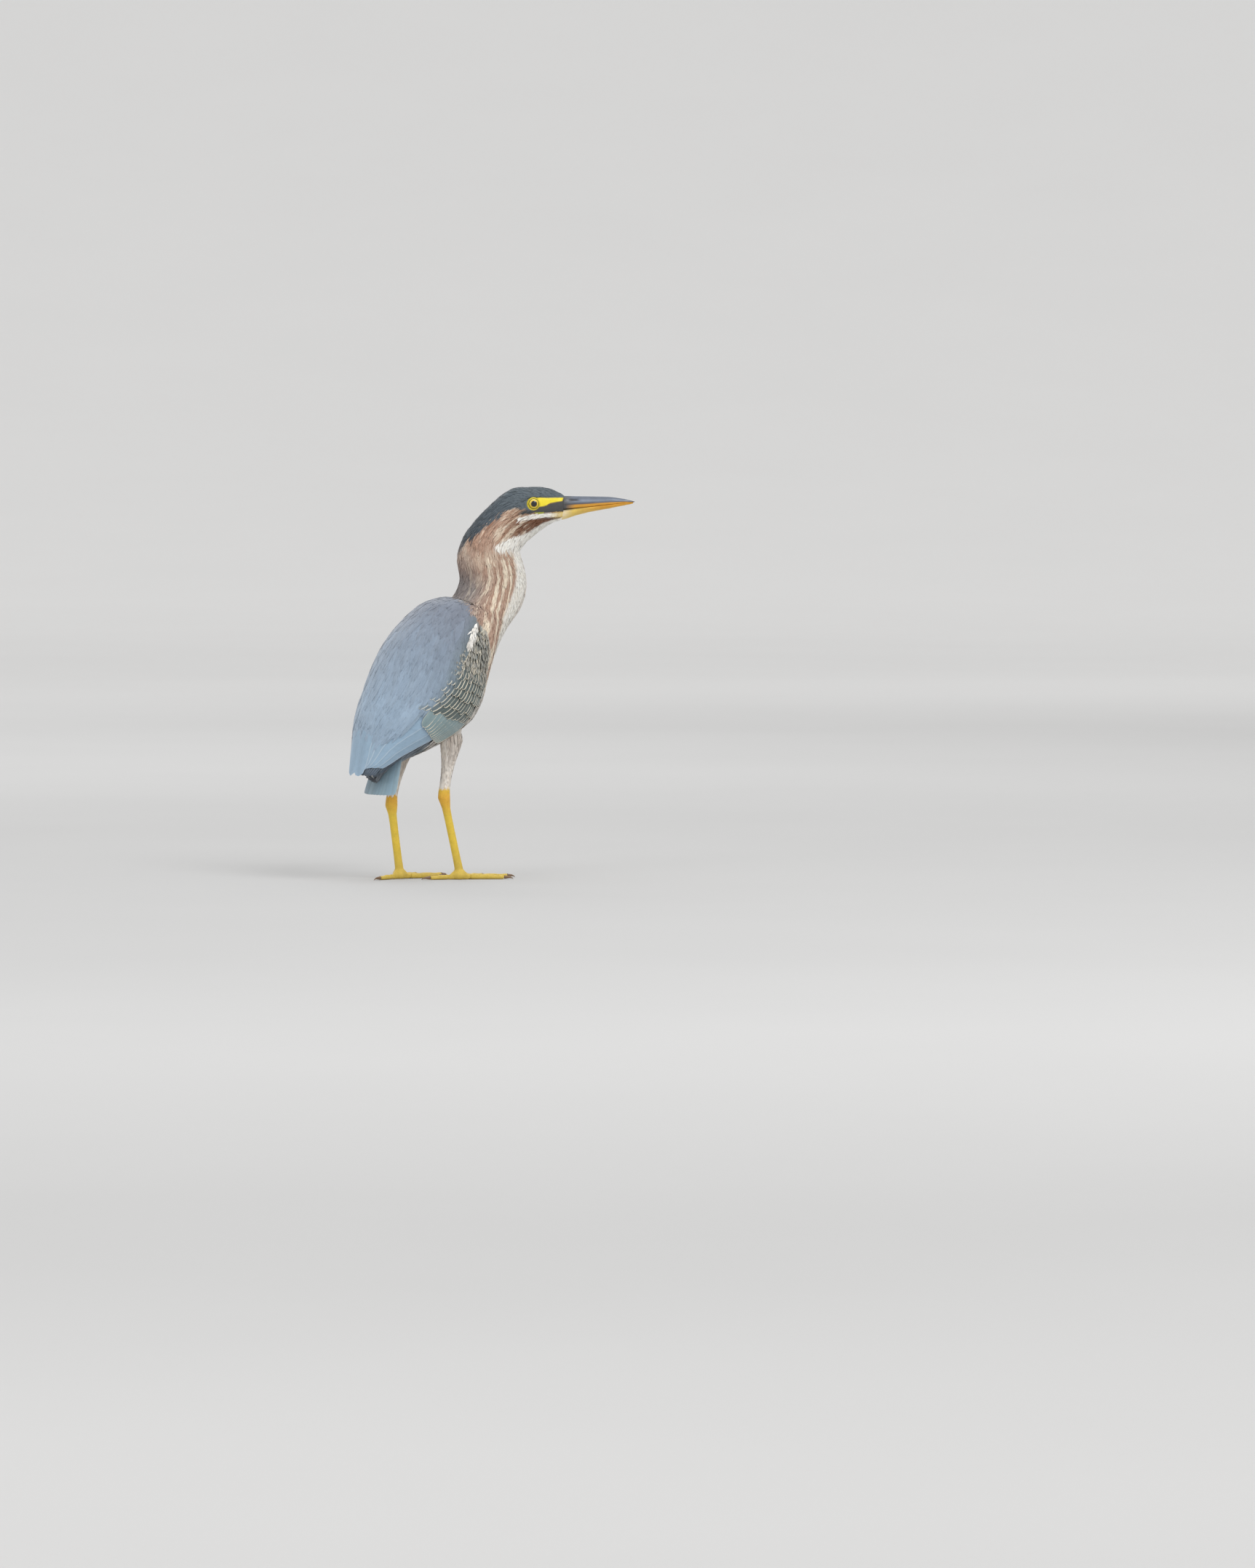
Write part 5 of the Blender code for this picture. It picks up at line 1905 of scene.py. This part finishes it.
# %% Skin
def skin_material():
    material, tree, shader = new_material("bird skin")
    place, tint = place_on(tree), attribute(tree, "tint", "Color")
    bare, scute, lore = (attribute(tree, name, "Fac") for name in ("bare", "scute", "lore"))
    cells = ramp(tree, net(tree, place, 1100.0), 0.0, 0.14)
    cloud, fine = noise(tree, place, 220.0, 4.0), noise(tree, place, 2600.0, 3.0)
    furrow = times(tree, ramp(tree, scute, 0.2, 0.6, 1.0, 0.0), 0.42)
    dark = times(tree, minus(tree, 1.0, cells), times(tree, bare, 0.14))
    light = plus(tree, 0.86, times(tree, cloud, 0.3))
    light = plus(tree, light, times(tree, minus(tree, fine, 0.5), times(tree, lore, 0.3)))
    light = minus(tree, minus(tree, light, dark), furrow)
    tree.links.new(blend(tree, 1.0, tint, grey(tree, light), "MULTIPLY"), shader.inputs["Base Color"])
    height = plus(tree, times(tree, cells, bare), times(tree, fine, 0.6))
    set_relief(tree, shader, height, 0.08)
    rough = minus(tree, 0.8, times(tree, plus(tree, bare, lore), 0.36))
    tree.links.new(rough, shader.inputs["Roughness"])
    set_levels(shader, Specular_IOR_Level=0.4)
    return material


skin.data.materials.clear()
skin.data.materials.append(skin_material())

# %% Lids
LID_YELLOW = colour(232, 212, 44)
LID_DULL = colour(196, 176, 40)


def lid_material():
    material, tree, shader = new_material("lid skin")
    place = place_on(tree)
    dull = ramp(tree, noise(tree, place, 500.0, 3.0), 0.35, 0.7)
    tree.links.new(blend(tree, dull, LID_YELLOW, LID_DULL), shader.inputs["Base Color"])
    set_relief(tree, shader, ramp(tree, net(tree, place, 2200.0), 0.0, 0.2), 0.05)
    set_levels(shader, Roughness=0.42)
    return material


LID = lid_material()
for piece in lids:
    piece.data.materials.append(LID)

# %% Horn of the bill and claws
def horn_group():
    number = "NodeSocketFloat"
    group, given, out = new_group(
        "horn grain", [("Grain", number, 0.2), ("Along", number, 60.0), ("Across", number, 900.0)],
        [("Light", number), ("Height", number)])
    place = attribute(group, "plane")
    scales = {0: given["Along"], 1: given["Across"], 2: given["Across"]}
    stretch = node(group, "ShaderNodeCombineXYZ", scales).outputs[0]
    grain_at = node(group, "ShaderNodeVectorMath", {0: place, 1: stretch}, operation="MULTIPLY")
    grain = noise(group, grain_at.outputs[0], 1.0, 5.0, 0.6)
    both = plus(group, grain, noise(group, place, 160.0, 3.0))
    light = times(group, minus(group, both, 1.0), given["Grain"])
    group.links.new(plus(group, light, 1.0), out["Light"])
    group.links.new(grain, out["Height"])
    return group


HORN = horn_group()


def horn_material(name, base, rough, grain):
    """Horn of one colour, or of each corner's own tint where no colour is given."""
    material, tree, shader = new_material(name)
    out = place_group(tree, HORN, Grain=grain)
    if base is None:
        base = attribute(tree, "tint", "Color")
    tinted = blend(tree, 1.0, grey(tree, out["Light"]), base, "MULTIPLY")
    tree.links.new(tinted, shader.inputs["Base Color"])
    set_relief(tree, shader, out["Height"], 0.05)
    set_levels(shader, Roughness=rough, Coat_Weight=0.25, Coat_Roughness=0.25)
    return material


BILL_HORN = horn_material("bill horn", None, 0.34, 0.5)
CLAW_HORN = horn_material("claw horn", colour(122, 94, 66), 0.35, 0.6)
for piece in (upper_bill, lower_bill):
    piece.data.materials.append(BILL_HORN)
for piece in claws:
    piece.data.materials.append(CLAW_HORN)
    set_vector(piece.data, "plane", mesh_places(piece.data))

# %% Eye
IRIS_GOLD = colour(216, 178, 30)
IRIS_LIGHT = colour(242, 222, 62)
IRIS_INNER = colour(150, 92, 20)
IRIS_RIM = colour(40, 34, 22)
PUPIL_BLACK = (0.002, 0.002, 0.002)


def eye_material():
    material, tree, shader = new_material("heron eye")
    angle, x, y = three_of(tree, "gaze")
    spokes_at = node(tree, "ShaderNodeCombineXYZ", {0: times(tree, x, 9.0),
                     1: times(tree, y, 9.0), 2: times(tree, angle, 0.05)})
    spokes = noise(tree, spokes_at.outputs[0], 1.6, 4.0)
    iris = blend(tree, ramp(tree, spokes, 0.35, 0.65), IRIS_GOLD, IRIS_LIGHT)
    inner = ramp(tree, angle, PUPIL_EDGE, PUPIL_EDGE + 8, 0.55, 0.0)
    iris = blend(tree, inner, iris, IRIS_INNER)
    limbus = ramp(tree, angle, IRIS_EDGE - 8.5, IRIS_EDGE - 5.0)
    iris = blend(tree, limbus, iris, IRIS_RIM)
    pupil = ramp(tree, angle, PUPIL_EDGE - 0.8, PUPIL_EDGE + 0.8, 1.0, 0.0)
    tree.links.new(blend(tree, pupil, iris, PUPIL_BLACK), shader.inputs["Base Color"])
    set_levels(shader, Roughness=0.3, Coat_Weight=1.0, Coat_Roughness=0.02, Coat_IOR=1.4)
    return material


EYE = eye_material()
for piece in eyeballs:
    piece.data.materials.append(EYE)

# %% [markdown]
# ## Floor, light and camera
#
# The bird stands on a plain pale floor that curves up into its wall. The light is a studio's: a
# large key from above on the camera's right, a broad top light, a weak fill from the camera's
# left, one lamp for the far side, and a pale world that fills the shadows. The camera is far off
# with a long lens, nearly level, behind and to the right of the bird.

# %% Backdrop and light
FLAT_REACH, BEND = 6.0, 16.0   # metres
FLOOR_GAP = 0.0002             # the floor lies this far under the soles
# The floor is a little darker under the lamps, so that it meets the wall in one even tone. Each
# row gives two distances and the tone that is added between them.
FLOOR_TONES = ((0.8, 1.8, 0.51, 0.555), (2.6, 4.1, 0.0, 0.195), (4.1, 7.0, 0.0, 0.07))


def backdrop():
    """A round studio floor that curves up into its wall, spun from one line."""
    line = [(reach, 0.0) for reach in (0.0, 0.6, 2.0, 4.5, FLAT_REACH)]
    for degrees in range(3, 61, 3):
        angle = math.radians(degrees)
        line.append((FLAT_REACH + BEND * math.sin(angle), BEND - BEND * math.cos(angle)))
    bm = spun([(reach, up - FLOOR_GAP) for reach, up in line], closed=False, steps=96, weld=0.0001)
    bm.normal_update()
    if sum(face.normal.z for face in bm.faces) < 0:
        bmesh.ops.reverse_faces(bm, faces=bm.faces)
    ground = add_object("backdrop", mesh_from(bm, "backdrop"))
    material, tree, shader = new_material("pale backdrop")
    place = place_on(tree)
    reach = node(tree, "ShaderNodeVectorMath", {0: place}, operation="LENGTH").outputs["Value"]
    tone = times(tree, noise(tree, place, 3.0, 2.0), 0.02)
    for start, end, low, high in FLOOR_TONES:
        tone = plus(tree, tone, ramp(tree, reach, start, end, low, high))
    tree.links.new(grey(tree, tone), shader.inputs["Base Color"])
    set_levels(shader, Roughness=1.0, Specular_IOR_Level=0.0)
    ground.data.materials.append(material)
    ground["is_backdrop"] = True


def softbox(name, place, target, size, power):
    light = bpy.data.lights.new(name, "AREA")
    light.shape, light.size, light.energy = "DISK", size, power
    lamp = add_object(name, light)
    lamp.location = place
    lamp.rotation_euler = (Vector(target) - Vector(place)).to_track_quat("-Z", "Y").to_euler()


CAMERA_TURN, CAMERA_RISE = 36.0, 3.0      # degrees right of the bird's own side, and above level
turn = math.radians(CAMERA_TURN)
LOOK = Vector((math.cos(turn), -math.sin(turn), 0))
SCREEN_RIGHT = Vector((-math.sin(turn), -math.cos(turn), 0))
MIDDLE = Vector((0, 0, 0.17))
backdrop()
softbox("key", MIDDLE - LOOK * 1.8 + SCREEN_RIGHT * 1.7 + Vector((0, 0, 2.4)), MIDDLE, 1.5, 36)
softbox("top", MIDDLE - LOOK * 0.3 + Vector((0, 0, 3.6)), MIDDLE, 3.0, 27)
softbox("fill", MIDDLE - LOOK * 2.6 - SCREEN_RIGHT * 2.4 + Vector((0, 0, 1.9)), MIDDLE, 1.8, 15)
softbox("far side", MIDDLE + LOOK * 2.6 - SCREEN_RIGHT * 0.8 + Vector((0, 0, 1.8)), MIDDLE, 2.0, 15)
world_light = bpy.data.worlds.new("pale room")
world_light.use_nodes = True
set_levels(world_light.node_tree.nodes["Background"], Color=(1.0, 0.995, 0.985, 1), Strength=0.82)
bpy.context.scene.world = world_light
bpy.context.scene.view_settings.view_transform = "Standard"

# %% Camera
LENS, SENSOR = 200.0, 36.0                # millimetres
FRAME_HEIGHT = 1.2936                     # metres that the frame's long side covers at the bird
AIM_RIGHT, AIM_UP = 0.1575, 0.078         # metres from the bird's zero point to the frame's middle
camera_data = bpy.data.cameras.new("camera")
camera_data.lens, camera_data.sensor_width = LENS, SENSOR
camera = add_object("camera", camera_data)
rise = math.radians(CAMERA_RISE)
view = (LOOK * math.cos(rise) - Vector((0, 0, math.sin(rise)))).normalized()
aim = Vector(ZERO) + SCREEN_RIGHT * AIM_RIGHT + Vector((0, 0, AIM_UP))
camera.location = aim - view * (LENS / SENSOR * FRAME_HEIGHT)
camera.rotation_euler = view.to_track_quat("-Z", "Y").to_euler()
camera_data.clip_end = 50
bpy.context.scene.camera = camera
print("camera at", tuple(round(c, 3) for c in camera.location))

# %% Sizes, and finish
LOOKS_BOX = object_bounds()
growth = (np.array(LOOKS_BOX) - np.array(CAD_BOX)) / MM
print("grows by", np.round(growth, 1).tolist(), "mm")
